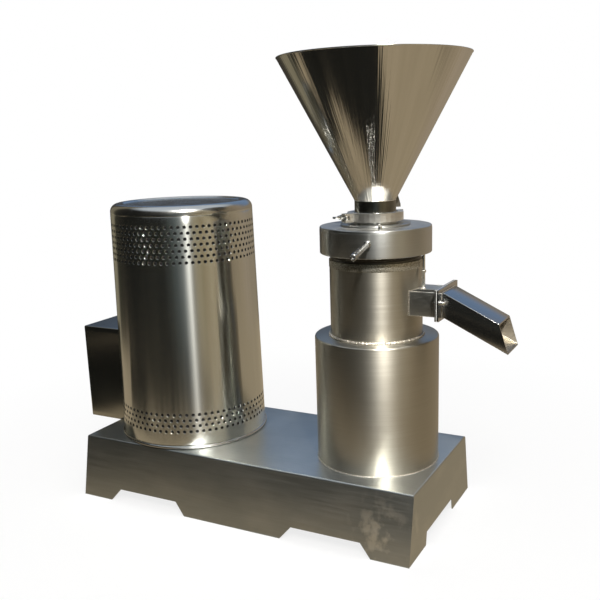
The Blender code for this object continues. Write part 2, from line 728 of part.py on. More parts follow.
def make_belt_drive(iron, rubber):
    """Two grooved pulleys and the belts that join them."""
    drive = groove_outline(DRIVE_PULLEY_RADIUS, MOTOR_SHAFT_RADIUS + SEAT_GAP)
    driven = groove_outline(DRIVEN_PULLEY_RADIUS, SPINDLE_RADIUS + SEAT_GAP)
    add_object("drive_pulley", turned(drive, MEDIUM_STEPS), iron, (MOTOR_X, 0, 0))
    add_object("driven_pulley", turned(driven, MEDIUM_STEPS), iron, (MILL_X, 0, 0))
    for number in range(BELT_COUNT):
        height = BELT_FOOT_HEIGHT + number * BELT_PITCH
        add_object(f"v_belt_{number + 1}", belt_shape(height), rubber)


def belt_shape(height):
    """One belt: a trapezium section carried round both pulleys."""
    section = [
        (-BELT_DEPTH, -BELT_FOOT_WIDTH / 2),
        (0, -BELT_TOP_WIDTH / 2),
        (0, BELT_TOP_WIDTH / 2),
        (-BELT_DEPTH, BELT_FOOT_WIDTH / 2),
    ]
    span = MOTOR_FROM_MIDDLE + MILL_FROM_MIDDLE
    lean = math.asin((DRIVE_PULLEY_RADIUS - DRIVEN_PULLEY_RADIUS) / span)
    stations = []
    for middle, radius, start, sweep in (
        (MOTOR_X, DRIVE_PULLEY_RADIUS, math.pi / 2 - lean, math.pi + 2 * lean),
        (MILL_X, DRIVEN_PULLEY_RADIUS, -math.pi / 2 + lean, math.pi - 2 * lean),
    ):
        for step in range(BELT_TURN_STEPS + 1):
            stations.append((middle, radius, start + sweep * step / BELT_TURN_STEPS))
    shape = bmesh.new()
    loops = []
    for middle, radius, angle in stations:
        loops.append(
            [
                shape.verts.new(
                    (
                        middle + (radius + out) * math.cos(angle),
                        (radius + out) * math.sin(angle),
                        height + up,
                    )
                )
                for out, up in section
            ]
        )
    for this_loop, next_loop in zip(loops, loops[1:] + loops[:1]):
        for corner in range(len(section)):
            other = (corner + 1) % len(section)
            shape.faces.new(
                (this_loop[corner], this_loop[other], next_loop[other], next_loop[corner])
            )
    return shape


def make_mill_body(steel):
    """The lower mill body: a round shell, open below, with a thick top plate and a raised lip."""
    hole = HOUSING_RADIUS + SEAT_GAP
    wall = BODY_RADIUS - BODY_WALL
    add_object(
        "mill_body",
        turned(
            [
                (wall, BASE_SEAT),
                (BODY_RADIUS, BASE_SEAT),
                (BODY_RADIUS, BODY_TOP_HEIGHT - BODY_LIP),
                (BODY_RADIUS - BODY_LIP, BODY_TOP_HEIGHT),
                (hole, BODY_TOP_HEIGHT),
                (hole, BODY_TOP_HEIGHT - BODY_TOP_THICKNESS),
                (wall, BODY_TOP_HEIGHT - BODY_TOP_THICKNESS),
            ]
        ),
        steel, (MILL_X, 0, 0),
    )


def make_bearings(iron, steel, rubber):
    """The flanged housing, its two bearings and the shaft seal above them."""
    seat = BEARING_RADIUS + SEAT_GAP
    upper_shoulder = UPPER_BEARING_TOP - BEARING_WIDTH - SEAT_GAP
    lower_shoulder = LOWER_BEARING_FOOT + BEARING_WIDTH + SEAT_GAP
    add_object(
        "bearing_housing",
        turned(
            [
                (HOUSING_RADIUS, HOUSING_FOOT_HEIGHT),
                (HOUSING_RADIUS, HOUSING_FOOT),
                (HOUSING_FLANGE_RADIUS, HOUSING_FOOT),
                (HOUSING_FLANGE_RADIUS, HOUSING_TOP),
                (seat, HOUSING_TOP),
                (seat, upper_shoulder),
                (HOUSING_BORE_RADIUS, upper_shoulder),
                (HOUSING_BORE_RADIUS, lower_shoulder),
                (seat, lower_shoulder),
                (seat, HOUSING_FOOT_HEIGHT),
            ],
            MEDIUM_STEPS,
        ),
        iron, (MILL_X, 0, 0),
    )
    for name, foot in (
        ("lower_bearing", LOWER_BEARING_FOOT),
        ("upper_bearing", UPPER_BEARING_TOP - BEARING_WIDTH),
    ):
        add_object(name, turned(bearing_outline(foot), MEDIUM_STEPS), steel, (MILL_X, 0, 0))
    seal_top = CHAMBER_FLOOR_HEIGHT + BEARING_RECESS
    add_object(
        "shaft_seal",
        turned(
            ring_outline(SPINDLE_RADIUS + RUNNING_GAP, SEAL_RADIUS, seal_top - SEAL_HEIGHT, seal_top),
            MEDIUM_STEPS,
        ),
        rubber, (MILL_X, 0, 0),
    )


def bearing_outline(foot):
    """A ball bearing's section: two races with a sunk cage between them."""
    inner = SPINDLE_RADIUS + RUNNING_GAP
    top = foot + BEARING_WIDTH
    return [
        (inner, foot),
        (inner + BEARING_RACE, foot),
        (inner + BEARING_RACE, foot + BEARING_RECESS),
        (BEARING_RADIUS - BEARING_RACE, foot + BEARING_RECESS),
        (BEARING_RADIUS - BEARING_RACE, foot),
        (BEARING_RADIUS, foot),
        (BEARING_RADIUS, top),
        (BEARING_RADIUS - BEARING_RACE, top),
        (BEARING_RADIUS - BEARING_RACE, top - BEARING_RECESS),
        (inner + BEARING_RACE, top - BEARING_RECESS),
        (inner + BEARING_RACE, top),
        (inner, top),
    ]


def make_chamber(steel):
    """The grinding chamber: skirt, floor, wall with its outlet window, and threaded neck."""
    foot = BODY_TOP_HEIGHT + SEAT_GAP
    inner = CHAMBER_RADIUS - CHAMBER_WALL
    band = CHAMBER_RADIUS + CHAMBER_BAND_STEP
    band_top = CHAMBER_BAND_FOOT + CHAMBER_BAND_HEIGHT
    under_floor = CHAMBER_FLOOR_HEIGHT - CHAMBER_FLOOR_THICKNESS
    seal_hole = SEAL_RADIUS + SEAT_GAP
    chamber = add_object(
        "grinding_chamber",
        turned(
            [
                (inner, foot),
                (CHAMBER_RADIUS + CHAMBER_FOOT_BEAD, foot),
                (CHAMBER_RADIUS, foot + CHAMBER_FOOT_BEAD),
                (CHAMBER_RADIUS, CHAMBER_BAND_FOOT),
                (band, CHAMBER_BAND_FOOT + CHAMBER_BAND_STEP),
                (band, band_top - CHAMBER_BAND_STEP),
                (CHAMBER_RADIUS, band_top),
                (THREAD_RADIUS, band_top),
                (THREAD_RADIUS, THREAD_TOP_HEIGHT),
                (NECK_BORE_RADIUS, THREAD_TOP_HEIGHT),
                (NECK_BORE_RADIUS, CHAMBER_BAND_FOOT),
                (inner, CHAMBER_BAND_FOOT - THREAD_FOOT_TAPER),
                (inner, CHAMBER_FLOOR_HEIGHT),
                (seal_hole, CHAMBER_FLOOR_HEIGHT),
                (seal_hole, under_floor),
                (inner, under_floor),
            ]
        ),
        steel, (MILL_X, 0, 0),
    )
    half = DUCT_WIDTH / 2 - DUCT_WALL
    window = block(
        (inner * math.cos(math.asin(half / inner)) - OVERRUN, -half, DUCT_FOOT_HEIGHT + DUCT_WALL),
        (CHAMBER_RADIUS + OVERRUN, half, DUCT_TOP_HEIGHT - DUCT_WALL),
    )
    cut(chamber, "window", window)
    return chamber


def tooth_ring(radius_at, heights, teeth, depth, skew):
    """Loops of a toothed cone: teeth lean by the angle skew from the first height to the last."""
    loops = []
    pitch = FULL_TURN / teeth
    for height in heights:
        share = (height - heights[0]) / (heights[-1] - heights[0])
        points = []
        for number in range(teeth):
            for corner_share, tooth in ((0, 0), (0.45, 0), (0.55, 1), (0.90, 1)):
                angle = pitch * (number + corner_share) + skew * share
                points.append(round_with(radius_at(height) - depth * tooth, angle, height))
        loops.append(points)
    return loops


def bridge(shape, lower, upper):
    """Faces between two loops with as many corners."""
    for corner in range(len(lower)):
        other = (corner + 1) % len(lower)
        shape.faces.new((lower[corner], lower[other], upper[other], upper[corner]))


def rotor_radius(height):
    share = (height - ROTOR_FOOT_HEIGHT) / ROTOR_HEIGHT
    return ROTOR_FOOT_RADIUS + (ROTOR_TOP_RADIUS - ROTOR_FOOT_RADIUS) * share


def make_rotor(steel):
    """The turning cone with skewed teeth, its paddles below, and the nut that holds it."""
    top = ROTOR_FOOT_HEIGHT + ROTOR_HEIGHT
    shape = bmesh.new()
    loops = [
        [shape.verts.new(point) for point in points]
        for points in tooth_ring(
            rotor_radius, (ROTOR_FOOT_HEIGHT, top), ROTOR_TEETH, TOOTH_DEPTH, TOOTH_SKEW
        )
    ]
    bridge(shape, loops[0], loops[1])
    shape.faces.new(loops[0][::-1])
    shape.faces.new(loops[1])
    rotor = add_object("rotor", shape, steel, (MILL_X, 0, 0))
    paddle_foot = ROTOR_FOOT_HEIGHT - PADDLE_HEIGHT
    half = PADDLE_THICKNESS / 2
    root = SPINDLE_RADIUS + OVERRUN
    for number in range(PADDLE_COUNT):
        paddle = block((root, -half, paddle_foot), (PADDLE_LENGTH, half, ROTOR_FOOT_HEIGHT + OVERRUN / 2))
        under = block(
            (ROTOR_FOOT_RADIUS + SEAT_GAP, -PADDLE_THICKNESS, ROTOR_FOOT_HEIGHT - SEAT_GAP),
            (PADDLE_LENGTH + OVERRUN, PADDLE_THICKNESS, ROTOR_FOOT_HEIGHT + OVERRUN),
        )
        turn = (0, 0, FULL_TURN * number / PADDLE_COUNT)
        join(rotor, f"paddle_{number}", paddle, turn=turn)
        cut(rotor, f"paddle_step_{number}", under, turn=turn)
    bore = SPINDLE_NOSE_RADIUS + SEAT_GAP
    cut(rotor, "bore", rod(bore, (0, 0, paddle_foot - OVERRUN), (0, 0, top + OVERRUN)))
    nut_foot = top + SEAT_GAP
    thread = SPINDLE_THREAD_RADIUS + SEAT_GAP
    add_object(
        "rotor_nut",
        turned(
            [
                (0, nut_foot + NUT_HEIGHT * 2 / 3),
                (thread, nut_foot + NUT_HEIGHT * 2 / 3),
                (thread, nut_foot),
                (NUT_RADIUS, nut_foot),
                (NUT_RADIUS, nut_foot + NUT_HEIGHT / 3),
                (NUT_RADIUS / 3, nut_foot + NUT_HEIGHT),
                (0, nut_foot + NUT_HEIGHT),
            ],
            SMALL_STEPS,
        ),
        steel, (MILL_X, 0, 0),
    )


def make_spindle(steel):
    """The stepped spindle, from the driven pulley up to the rotor's thread."""
    shoulder = ROTOR_FOOT_HEIGHT - PADDLE_HEIGHT - SEAT_GAP
    thread_foot = ROTOR_FOOT_HEIGHT + ROTOR_HEIGHT - SEAT_GAP
    thread_top = thread_foot + NUT_HEIGHT / 2
    add_object(
        "spindle",
        turned(
            [
                (0, PULLEY_FLOOR_HEIGHT),
                (SPINDLE_RADIUS, PULLEY_FLOOR_HEIGHT),
                (SPINDLE_RADIUS, shoulder),
                (SPINDLE_NOSE_RADIUS, shoulder),
                (SPINDLE_NOSE_RADIUS, thread_foot),
                (SPINDLE_THREAD_RADIUS, thread_foot),
                (SPINDLE_THREAD_RADIUS, thread_top),
                (0, thread_top),
            ],
            MEDIUM_STEPS,
        ),
        steel, (MILL_X, 0, 0),
    )


def stator_radius(height):
    """The stator's mouth opens downward at the rotor's slope, outside its teeth by the gap."""
    return rotor_radius(height) + GRINDING_GAP + TOOTH_DEPTH


def make_stator(steel):
    """The fixed ring round the rotor, toothed inside."""
    shape = bmesh.new()
    rows = tooth_ring(
        stator_radius, (HOLDER_FOOT, STATOR_TOP), STATOR_TEETH, TOOTH_DEPTH, -TOOTH_SKEW
    )
    inner = [[shape.verts.new(point) for point in points] for points in rows]
    bridge(shape, inner[1], inner[0])
    outer = []
    for points in rows:
        ring = []
        for point in points:
            angle = math.atan2(point.y, point.x)
            ring.append(shape.verts.new(round_with(STATOR_RADIUS, angle, point.z)))
        outer.append(ring)
    bridge(shape, outer[0], outer[1])
    bridge(shape, inner[0], outer[0])
    bridge(shape, outer[1], inner[1])
    return add_object("stator", shape, steel, (MILL_X, 0, 0))


def make_stator_holder(steel):
    """The sliding holder: cup for the stator, guide flange, hub, feed throat and lower ferrule."""
    cup = STATOR_RADIUS + SEAT_GAP
    guide = NECK_BORE_RADIUS - SEAT_GAP
    stator_seat = STATOR_TOP + SEAT_GAP
    rim_foot = FERRULE_JOINT_HEIGHT - FERRULE_RIM
    flange_foot = HOLDER_TOP - HOLDER_FLANGE_THICKNESS
    add_object(
        "stator_holder",
        turned(
            [
                (cup, HOLDER_FOOT),
                (HOLDER_CUP_RADIUS, HOLDER_FOOT),
                (HOLDER_CUP_RADIUS, flange_foot),
                (guide, flange_foot),
                (guide, HOLDER_TOP),
                (HOLDER_HUB_RADIUS, HOLDER_TOP),
                (HOLDER_HUB_RADIUS, HUB_TOP),
                (NECK_RADIUS, HUB_TOP),
                (NECK_RADIUS, rim_foot - FERRULE_SLOPE),
                (FERRULE_RADIUS, rim_foot),
                (FERRULE_RADIUS, FERRULE_JOINT_HEIGHT),
                (THROAT_RADIUS, FERRULE_JOINT_HEIGHT),
                (THROAT_RADIUS, stator_seat),
                (cup, stator_seat),
            ]
        ),
        steel, (MILL_X, 0, 0),
    )
    cap_foot = HUB_TOP + SEAT_GAP
    cap = add_object(
        "cap_ring",
        turned(
            ring_outline(NECK_RADIUS + SEAT_GAP * 2, CAP_RING_RADIUS, cap_foot, CAP_RING_TOP),
        ),
        steel, (MILL_X, 0, 0),
    )
    holder = bpy.data.objects["stator_holder"]
    for number, angle in enumerate(CAP_SCREW_ANGLES, 1):
        at = round_with(CAP_SCREW_CIRCLE, angle, 0)
        depth = 2 * CAP_RING_THICKNESS
        top = Vector((0, 0, CAP_RING_TOP + OVERRUN))
        low = Vector((0, 0, CAP_RING_TOP - depth - SEAT_GAP * 2))
        cut(holder, f"screw_{number}", rod(CAP_SCREW_RADIUS + SEAT_GAP, at + low, at + top, BOLT_STEPS))
        cut(cap, f"screw_{number}", rod(CAP_SCREW_RADIUS + SEAT_GAP, at + low, at + top, BOLT_STEPS))
        head = CAP_RING_TOP + SEAT_GAP
        add_object(
            f"cap_screw_{number}",
            turned(
                [
                    (0, CAP_RING_TOP - depth),
                    (CAP_SCREW_RADIUS, CAP_RING_TOP - depth),
                    (CAP_SCREW_RADIUS, head),
                    (CAP_SCREW_HEAD, head),
                    (CAP_SCREW_HEAD, head + CAP_SCREW_HEAD_HEIGHT),
                    (0, head + CAP_SCREW_HEAD_HEIGHT),
                ],
                BOLT_STEPS,
            ),
            steel, (MILL_X + at.x, at.y, 0),
        )


def make_adjusting_ring(steel, polished):
    """The heavy ring that turns on the chamber's neck, with its lock screw and two handles."""
    bore = THREAD_RADIUS + RUNNING_GAP
    plate_foot = RING_TOP_HEIGHT - RING_PLATE
    ring = add_object(
        "adjusting_ring",
        turned(
            [
                (bore, RING_FOOT_HEIGHT),
                (RING_RADIUS - RING_FOOT_CHAMFER, RING_FOOT_HEIGHT),
                (RING_RADIUS, RING_FOOT_HEIGHT + RING_FOOT_CHAMFER),
                (RING_RADIUS, RING_TOP_HEIGHT - RING_TOP_CHAMFER),
                (RING_RADIUS - RING_TOP_CHAMFER, RING_TOP_HEIGHT),
                (RING_HOLE_RADIUS, RING_TOP_HEIGHT),
                (RING_HOLE_RADIUS, plate_foot),
                (bore, plate_foot),
            ]
        ),
        steel, (MILL_X, 0, 0),
    )
    at = round_with(LOCK_SCREW_CIRCLE, LOCK_SCREW_ANGLE, 0)
    hole_foot = RING_TOP_HEIGHT - LOCK_SCREW_DEPTH - SEAT_GAP
    hole = rod(
        LOCK_SCREW_RADIUS / 2 + SEAT_GAP,
        at + Vector((0, 0, hole_foot)), at + Vector((0, 0, RING_TOP_HEIGHT + OVERRUN)), BOLT_STEPS,
    )
    cut(ring, "screw_hole", hole)
    head = RING_TOP_HEIGHT + SEAT_GAP
    add_object(
        "ring_lock_screw",
        turned(
            [
                (0, RING_TOP_HEIGHT - LOCK_SCREW_DEPTH),
                (LOCK_SCREW_RADIUS / 2, RING_TOP_HEIGHT - LOCK_SCREW_DEPTH),
                (LOCK_SCREW_RADIUS / 2, head),
                (LOCK_SCREW_RADIUS, head),
                (LOCK_SCREW_RADIUS, head + LOCK_SCREW_HEIGHT),
                (0, head + LOCK_SCREW_HEIGHT),
            ],
            BOLT_STEPS,
        ),
        steel, (MILL_X + at.x, at.y, 0),
    )
    for name, angle in (("handle_front", HANDLE_ANGLE), ("handle_back", HANDLE_ANGLE + math.pi)):
        turn = (0, math.pi / 2, angle)
        place = (MILL_X, 0, HANDLE_HEIGHT)
        root = RING_RADIUS - HANDLE_ROOT_DEPTH
        hole = rod(HANDLE_ROOT_RADIUS + SEAT_GAP, (0, 0, root), (0, 0, RING_RADIUS + OVERRUN))
        cut(ring, f"{name}_hole", hole, place, turn)
        add_object(name, handle_shape(), polished, place, turn)


def handle_shape():
    """A turned bar: threaded root, collar, and a grip that swells to its round tip."""
    collar = RING_RADIUS + SEAT_GAP
    tip = RING_RADIUS + HANDLE_LENGTH
    dome = tip - HANDLE_TIP_RADIUS / 2
    return turned(
        [
            (0, RING_RADIUS - HANDLE_ROOT_DEPTH + SEAT_GAP),
            (HANDLE_ROOT_RADIUS, RING_RADIUS - HANDLE_ROOT_DEPTH + SEAT_GAP),
            (HANDLE_ROOT_RADIUS, collar),
            (HANDLE_COLLAR_RADIUS, collar),
            (HANDLE_COLLAR_RADIUS, collar + HANDLE_COLLAR_LENGTH),
            (HANDLE_RADIUS, collar + HANDLE_COLLAR_LENGTH),
            (HANDLE_TIP_RADIUS, dome),
            (HANDLE_TIP_RADIUS * 0.7, tip - HANDLE_TIP_RADIUS / 8),
            (0, tip),
        ],
        SMALL_STEPS,
    )


def clamp_outline():
    """The clamp's section: a channel whose inner faces grip both ferrules' slopes."""
    lip_share = (CLAMP_LIP_RADIUS - NECK_RADIUS) / (FERRULE_RADIUS - NECK_RADIUS)
    slope_half = FERRULE_HALF + SEAT_GAP
    lip_half = slope_half - FERRULE_SLOPE * lip_share
    root_half = slope_half - FERRULE_SLOPE
    root = FERRULE_RADIUS + SEAT_GAP
    outer_half = lip_half + CLAMP_LIP
    return [
        (CLAMP_LIP_RADIUS, CLAMP_MIDDLE - outer_half),
        (CLAMP_RADIUS, CLAMP_MIDDLE - outer_half),
        (CLAMP_RADIUS, CLAMP_MIDDLE + outer_half),
        (CLAMP_LIP_RADIUS, CLAMP_MIDDLE + outer_half),
        (CLAMP_LIP_RADIUS, CLAMP_MIDDLE + lip_half),
        (root, CLAMP_MIDDLE + root_half),
        (root, CLAMP_MIDDLE - root_half),
        (CLAMP_LIP_RADIUS, CLAMP_MIDDLE - lip_half),
    ]


def make_clamp(steel, rubber):
    """The two-part clamp round the ferrules, its hinge pin, swing bolt and wing nut."""
    place = (MILL_X, 0, 0)
    turn = (0, 0, CLAMP_ANGLE)
    outline = clamp_outline()
    height_half = CLAMP_MIDDLE - outline[0][1]
    low, high = CLAMP_MIDDLE - height_half, CLAMP_MIDDLE + height_half
    trim = math.asin(CLAMP_SPLIT / CLAMP_LIP_RADIUS)
    sweep = math.pi - 2 * trim
    ear_root = CLAMP_RADIUS - CLAMP_LIP
    ear_tip = CLAMP_RADIUS + EAR_REACH
    third = (high - low) / 3
    knuckle_levels = {
        "front": ((low, low + third - SEAT_GAP), (high - third + SEAT_GAP, high)),
        "back": ((low + third, high - third),),
    }
    for name, side in (("back", -1), ("front", 1)):
        start = trim if side > 0 else math.pi + trim
        half = add_object(
            f"clamp_half_{name}", part_turned(outline, start, sweep, CLAMP_STEPS), steel, place, turn
        )
        near, far = sorted((side * CLAMP_SPLIT, side * (CLAMP_SPLIT + EAR_THICKNESS)))
        join(half, "ear", block((ear_root, near, low), (ear_tip, far, high)))
        for number, (foot, top) in enumerate(knuckle_levels[name]):
            knuckle = rod(HINGE_KNUCKLE_RADIUS, (-HINGE_CIRCLE, 0, foot), (-HINGE_CIRCLE, 0, top))
            join(half, f"knuckle_{number}", knuckle)
        for number, (foot, top) in enumerate(knuckle_levels["front" if side < 0 else "back"]):
            relief = rod(
                HINGE_KNUCKLE_RADIUS + SEAT_GAP,
                (-HINGE_CIRCLE, 0, foot - SEAT_GAP * 2), (-HINGE_CIRCLE, 0, top + SEAT_GAP * 2),
            )
            cut(half, f"relief_{number}", relief)
        pin_hole = rod(
            PIN_RADIUS + SEAT_GAP, (-HINGE_CIRCLE, 0, low - OVERRUN), (-HINGE_CIRCLE, 0, high + OVERRUN)
        )
        cut(half, "pin_hole", pin_hole)
        slot_half = EYE_HEIGHT / 2 + EYE_SLOT_CLEARANCE
        slot_root = CLAMP_BOLT_CIRCLE - EYE_RADIUS - 2 * EYE_SLOT_CLEARANCE
        slot = block(
            (slot_root, near - OVERRUN, CLAMP_MIDDLE - slot_half),
            (ear_tip + OVERRUN, far + OVERRUN, CLAMP_MIDDLE + slot_half),
        )
        cut(half, "slot", slot)
        if side > 0:
            hole = rod(
                PIN_RADIUS + SEAT_GAP,
                (CLAMP_BOLT_CIRCLE, PIN_OFFSET, low - OVERRUN),
                (CLAMP_BOLT_CIRCLE, PIN_OFFSET, high + OVERRUN),
            )
            cut(half, "eye_pin_hole", hole)
    for name, x, y in (
        ("clamp_hinge_pin", -HINGE_CIRCLE, 0),
        ("clamp_eye_pin", CLAMP_BOLT_CIRCLE, PIN_OFFSET),
    ):
        add_object(name, rod(PIN_RADIUS, (x, y, low), (x, y, high)), steel, place, turn)
    make_clamp_bolt(steel)
    add_object(
        "clamp_gasket",
        turned(
            ring_outline(
                THROAT_RADIUS, FERRULE_RADIUS - FERRULE_SLOPE, GASKET_FOOT, GASKET_FOOT + CLAMP_GASKET
            )
        ),
        rubber, place,
    )


def clamp_point(x, y):
    """A place on the clamp, given across and along its ears, as a world point at mid height."""
    return Vector((MILL_X, 0, CLAMP_MIDDLE)) + Matrix.Rotation(CLAMP_ANGLE, 3, "Z") @ Vector((x, y, 0))


def make_clamp_bolt(steel):
    """The swing bolt, whose eye turns on the eye pin, and its wing nut."""
    turn = (0, 0, CLAMP_ANGLE)
    eye = turned(
        ring_outline(PIN_RADIUS + SEAT_GAP, EYE_RADIUS, -EYE_HEIGHT / 2, EYE_HEIGHT / 2), SMALL_STEPS
    )
    bolt = add_object("clamp_bolt", eye, steel, clamp_point(CLAMP_BOLT_CIRCLE, PIN_OFFSET), turn)
    root = (PIN_RADIUS + EYE_RADIUS) / 2
    join(bolt, "shank", rod(CLAMP_BOLT_RADIUS, (0, -root, 0), (0, -CLAMP_BOLT_LENGTH, 0)))
    nut_face = -(CLAMP_SPLIT + EAR_THICKNESS + CLAMP_NUT_GAP)
    nut = wing_nut(
        "clamp_wing_nut", CLAMP_NUT_RADIUS, CLAMP_BOLT_RADIUS, CLAMP_NUT_LENGTH,
        CLAMP_WING_SPAN, CLAMP_WING_THICKNESS, steel,
    )
    nut.location = clamp_point(CLAMP_BOLT_CIRCLE, nut_face)
    nut.rotation_euler = (math.pi / 2, 0, CLAMP_ANGLE)


def wing_nut(name, radius, thread, length, span, thickness, steel):
    """A wing nut that stands on its face at the origin, with its thread along Z."""
    nut = add_object(name, turned(ring_outline(thread + SEAT_GAP, radius, 0, length), SMALL_STEPS), steel)
    half = thickness / 2
    inner = (radius + thread + SEAT_GAP) / 2
    for number, side in enumerate((-1, 1)):
        outline = [
            (side * inner, -half, length * 0.2),
            (side * span * 0.85, -half, length * 0.45),
            (side * span, -half, length * 0.8),
            (side * span, -half, length * 1.3),
            (side * span * 0.8, -half, length * 1.4),
            (side * inner, -half, length * 0.9),
        ]
        join(nut, f"wing_{number}", prism(outline, (0, thickness, 0)), (0, 0, 0), (0, 0, 0))
    for modifier in nut.modifiers:
        modifier.object.parent = nut
    return nut


def make_hopper(polished):
    """The conical hopper, its neck and its ferrule, with a small gusset at the neck's back."""
    rim_top = UPPER_FERRULE_FOOT + FERRULE_RIM
    slope_top = rim_top + FERRULE_SLOPE
    lean = math.atan2(HOPPER_RIM_RADIUS - HOPPER_NECK_RADIUS, HOPPER_RIM_HEIGHT - HOPPER_CONE_FOOT)
    across = HOPPER_SHEET / math.cos(lean)
    throat = HOPPER_NECK_RADIUS - HOPPER_SHEET
    bead = (HOPPER_RIM_RADIUS - across / 2, HOPPER_RIM_HEIGHT)
    outline = [
        (THROAT_RADIUS, UPPER_FERRULE_FOOT),
        (FERRULE_RADIUS, UPPER_FERRULE_FOOT),
        (FERRULE_RADIUS, rim_top),
        (NECK_RADIUS, slope_top),
        (HOPPER_NECK_RADIUS, slope_top + FERRULE_SLOPE),
        (HOPPER_NECK_RADIUS, HOPPER_CONE_FOOT),
        (HOPPER_RIM_RADIUS, HOPPER_RIM_HEIGHT - HOPPER_RIM_BEAD),
        (HOPPER_RIM_RADIUS + HOPPER_RIM_BEAD, HOPPER_RIM_HEIGHT),
        (bead[0] - HOPPER_RIM_BEAD, bead[1]),
        (HOPPER_RIM_RADIUS - across, HOPPER_RIM_HEIGHT - HOPPER_RIM_BEAD),
        (throat, HOPPER_CONE_FOOT + across / 2),
        (throat, slope_top),
    ]
    hopper = add_object("hopper", turned(outline), polished, (MILL_X, 0, 0))
    gusset_foot = HOPPER_CONE_FOOT - GUSSET_DROP
    reach = HOPPER_NECK_RADIUS + GUSSET_REACH
    rise = HOPPER_CONE_FOOT + GUSSET_RISE
    cone_radius = HOPPER_NECK_RADIUS + GUSSET_RISE * math.tan(lean)
    half = GUSSET_THICKNESS / 2
    root = HOPPER_NECK_RADIUS - HOPPER_SHEET / 2
    gusset = prism(
        [
            (root, -half, gusset_foot),
            (reach, -half, gusset_foot),
            (reach, -half, gusset_foot + GUSSET_DROP / 3),
            (cone_radius, -half, rise),
            (root, -half, HOPPER_CONE_FOOT),
        ],
        (0, GUSSET_THICKNESS, 0),
    )
    join(hopper, "gusset", gusset, turn=(0, 0, GUSSET_ANGLE))
    return hopper


def flange_corners():
    """The outlet flange's low and high corners across X."""
    low = (-FLANGE_HALF_WIDTH, DUCT_FOOT_HEIGHT - FLANGE_DROP)
    high = (FLANGE_HALF_WIDTH, DUCT_TOP_HEIGHT + FLANGE_RISE)
    return low, high


def flange_bolt_places():
    y = FLANGE_HALF_WIDTH - FLANGE_BOLT_INSET
    return (("front", -y), ("back", y))


def drill_flange(obj, start, end):
    """The two bolt holes through a flange."""
    for name, y in flange_bolt_places():
        hole = rod(
            FLANGE_BOLT_RADIUS + SEAT_GAP,
            (start, y, FLANGE_BOLT_HEIGHT),
            (end, y, FLANGE_BOLT_HEIGHT),
            BOLT_STEPS,
        )
        cut(obj, f"{name}_hole", hole)


def make_outlet(steel, rubber, polished):
    """The outlet duct, its gasket, the sloping chute and the wing-nut bolts that hold it."""
    half = DUCT_WIDTH / 2
    (low_y, low_z), (high_y, high_z) = flange_corners()
    duct_end = DUCT_FLANGE_X + FLANGE_THICKNESS
    duct = add_object(
        "outlet_duct",
        block(
            (MILL_X, -half, DUCT_FOOT_HEIGHT),
            (DUCT_FLANGE_X + FLANGE_THICKNESS / 2, half, DUCT_TOP_HEIGHT),
        ),
        steel,
    )
    join(duct, "flange", block((DUCT_FLANGE_X, low_y, low_z), (duct_end, high_y, high_z)))
    opening_low = (-half + DUCT_WALL, DUCT_FOOT_HEIGHT + DUCT_WALL)
    opening_high = (half - DUCT_WALL, DUCT_TOP_HEIGHT - DUCT_WALL)
    passage = block(
        (MILL_X - OVERRUN, *opening_low), (duct_end + OVERRUN, *opening_high)
    )
    cut(duct, "passage", passage)
    saddle = turned(
        [
            (0, DUCT_FOOT_HEIGHT - OVERRUN),
            (CHAMBER_RADIUS + SEAT_GAP, DUCT_FOOT_HEIGHT - OVERRUN),
            (CHAMBER_RADIUS + SEAT_GAP, DUCT_TOP_HEIGHT + OVERRUN),
            (0, DUCT_TOP_HEIGHT + OVERRUN),
        ]
    )
    cut(duct, "saddle", saddle, (MILL_X, 0, 0))
    drill_flange(duct, DUCT_FLANGE_X - OVERRUN, duct_end + OVERRUN)

    gasket_end = FLANGE_GASKET_X + FLANGE_GASKET
    gasket = add_object(
        "outlet_gasket", block((FLANGE_GASKET_X, low_y, low_z), (gasket_end, high_y, high_z)), rubber
    )
    window = block(
        (FLANGE_GASKET_X - OVERRUN, *opening_low), (gasket_end + OVERRUN, *opening_high)
    )
    cut(gasket, "window", window)
    drill_flange(gasket, FLANGE_GASKET_X - OVERRUN, gasket_end + OVERRUN)
    make_chute(polished)
    for name, y in flange_bolt_places():
        add_flange_bolt(name, y, steel)


def chute_outline(inset, stub_overrun, end_overrun):
    """The chute's side view as (x, z) corners, at this depth inside its outer faces."""
    slope = math.tan(CHUTE_SLOPE)
    stub = CHUTE_TUBE_X + CHUTE_STUB
    top, foot = DUCT_TOP_HEIGHT - inset, DUCT_FOOT_HEIGHT + inset
    lift = inset * math.tan(CHUTE_SLOPE / 2)
    end_top = (MILL_X + CHUTE_TOP_REACH, DUCT_TOP_HEIGHT - slope * (MILL_X + CHUTE_TOP_REACH - stub))
    end_foot = (MILL_X + CHUTE_FOOT_REACH, DUCT_FOOT_HEIGHT - slope * (MILL_X + CHUTE_FOOT_REACH - stub))
    deep = inset / math.cos(CHUTE_SLOPE)
    return [
        (CHUTE_FLANGE_X - stub_overrun, foot),
        (stub + lift, foot),
        (end_foot[0] + end_overrun, end_foot[1] + deep - end_overrun * slope),
        (end_top[0] + end_overrun, end_top[1] - deep - end_overrun * slope),
        (stub - lift, top),
        (CHUTE_FLANGE_X - stub_overrun, top),
    ]


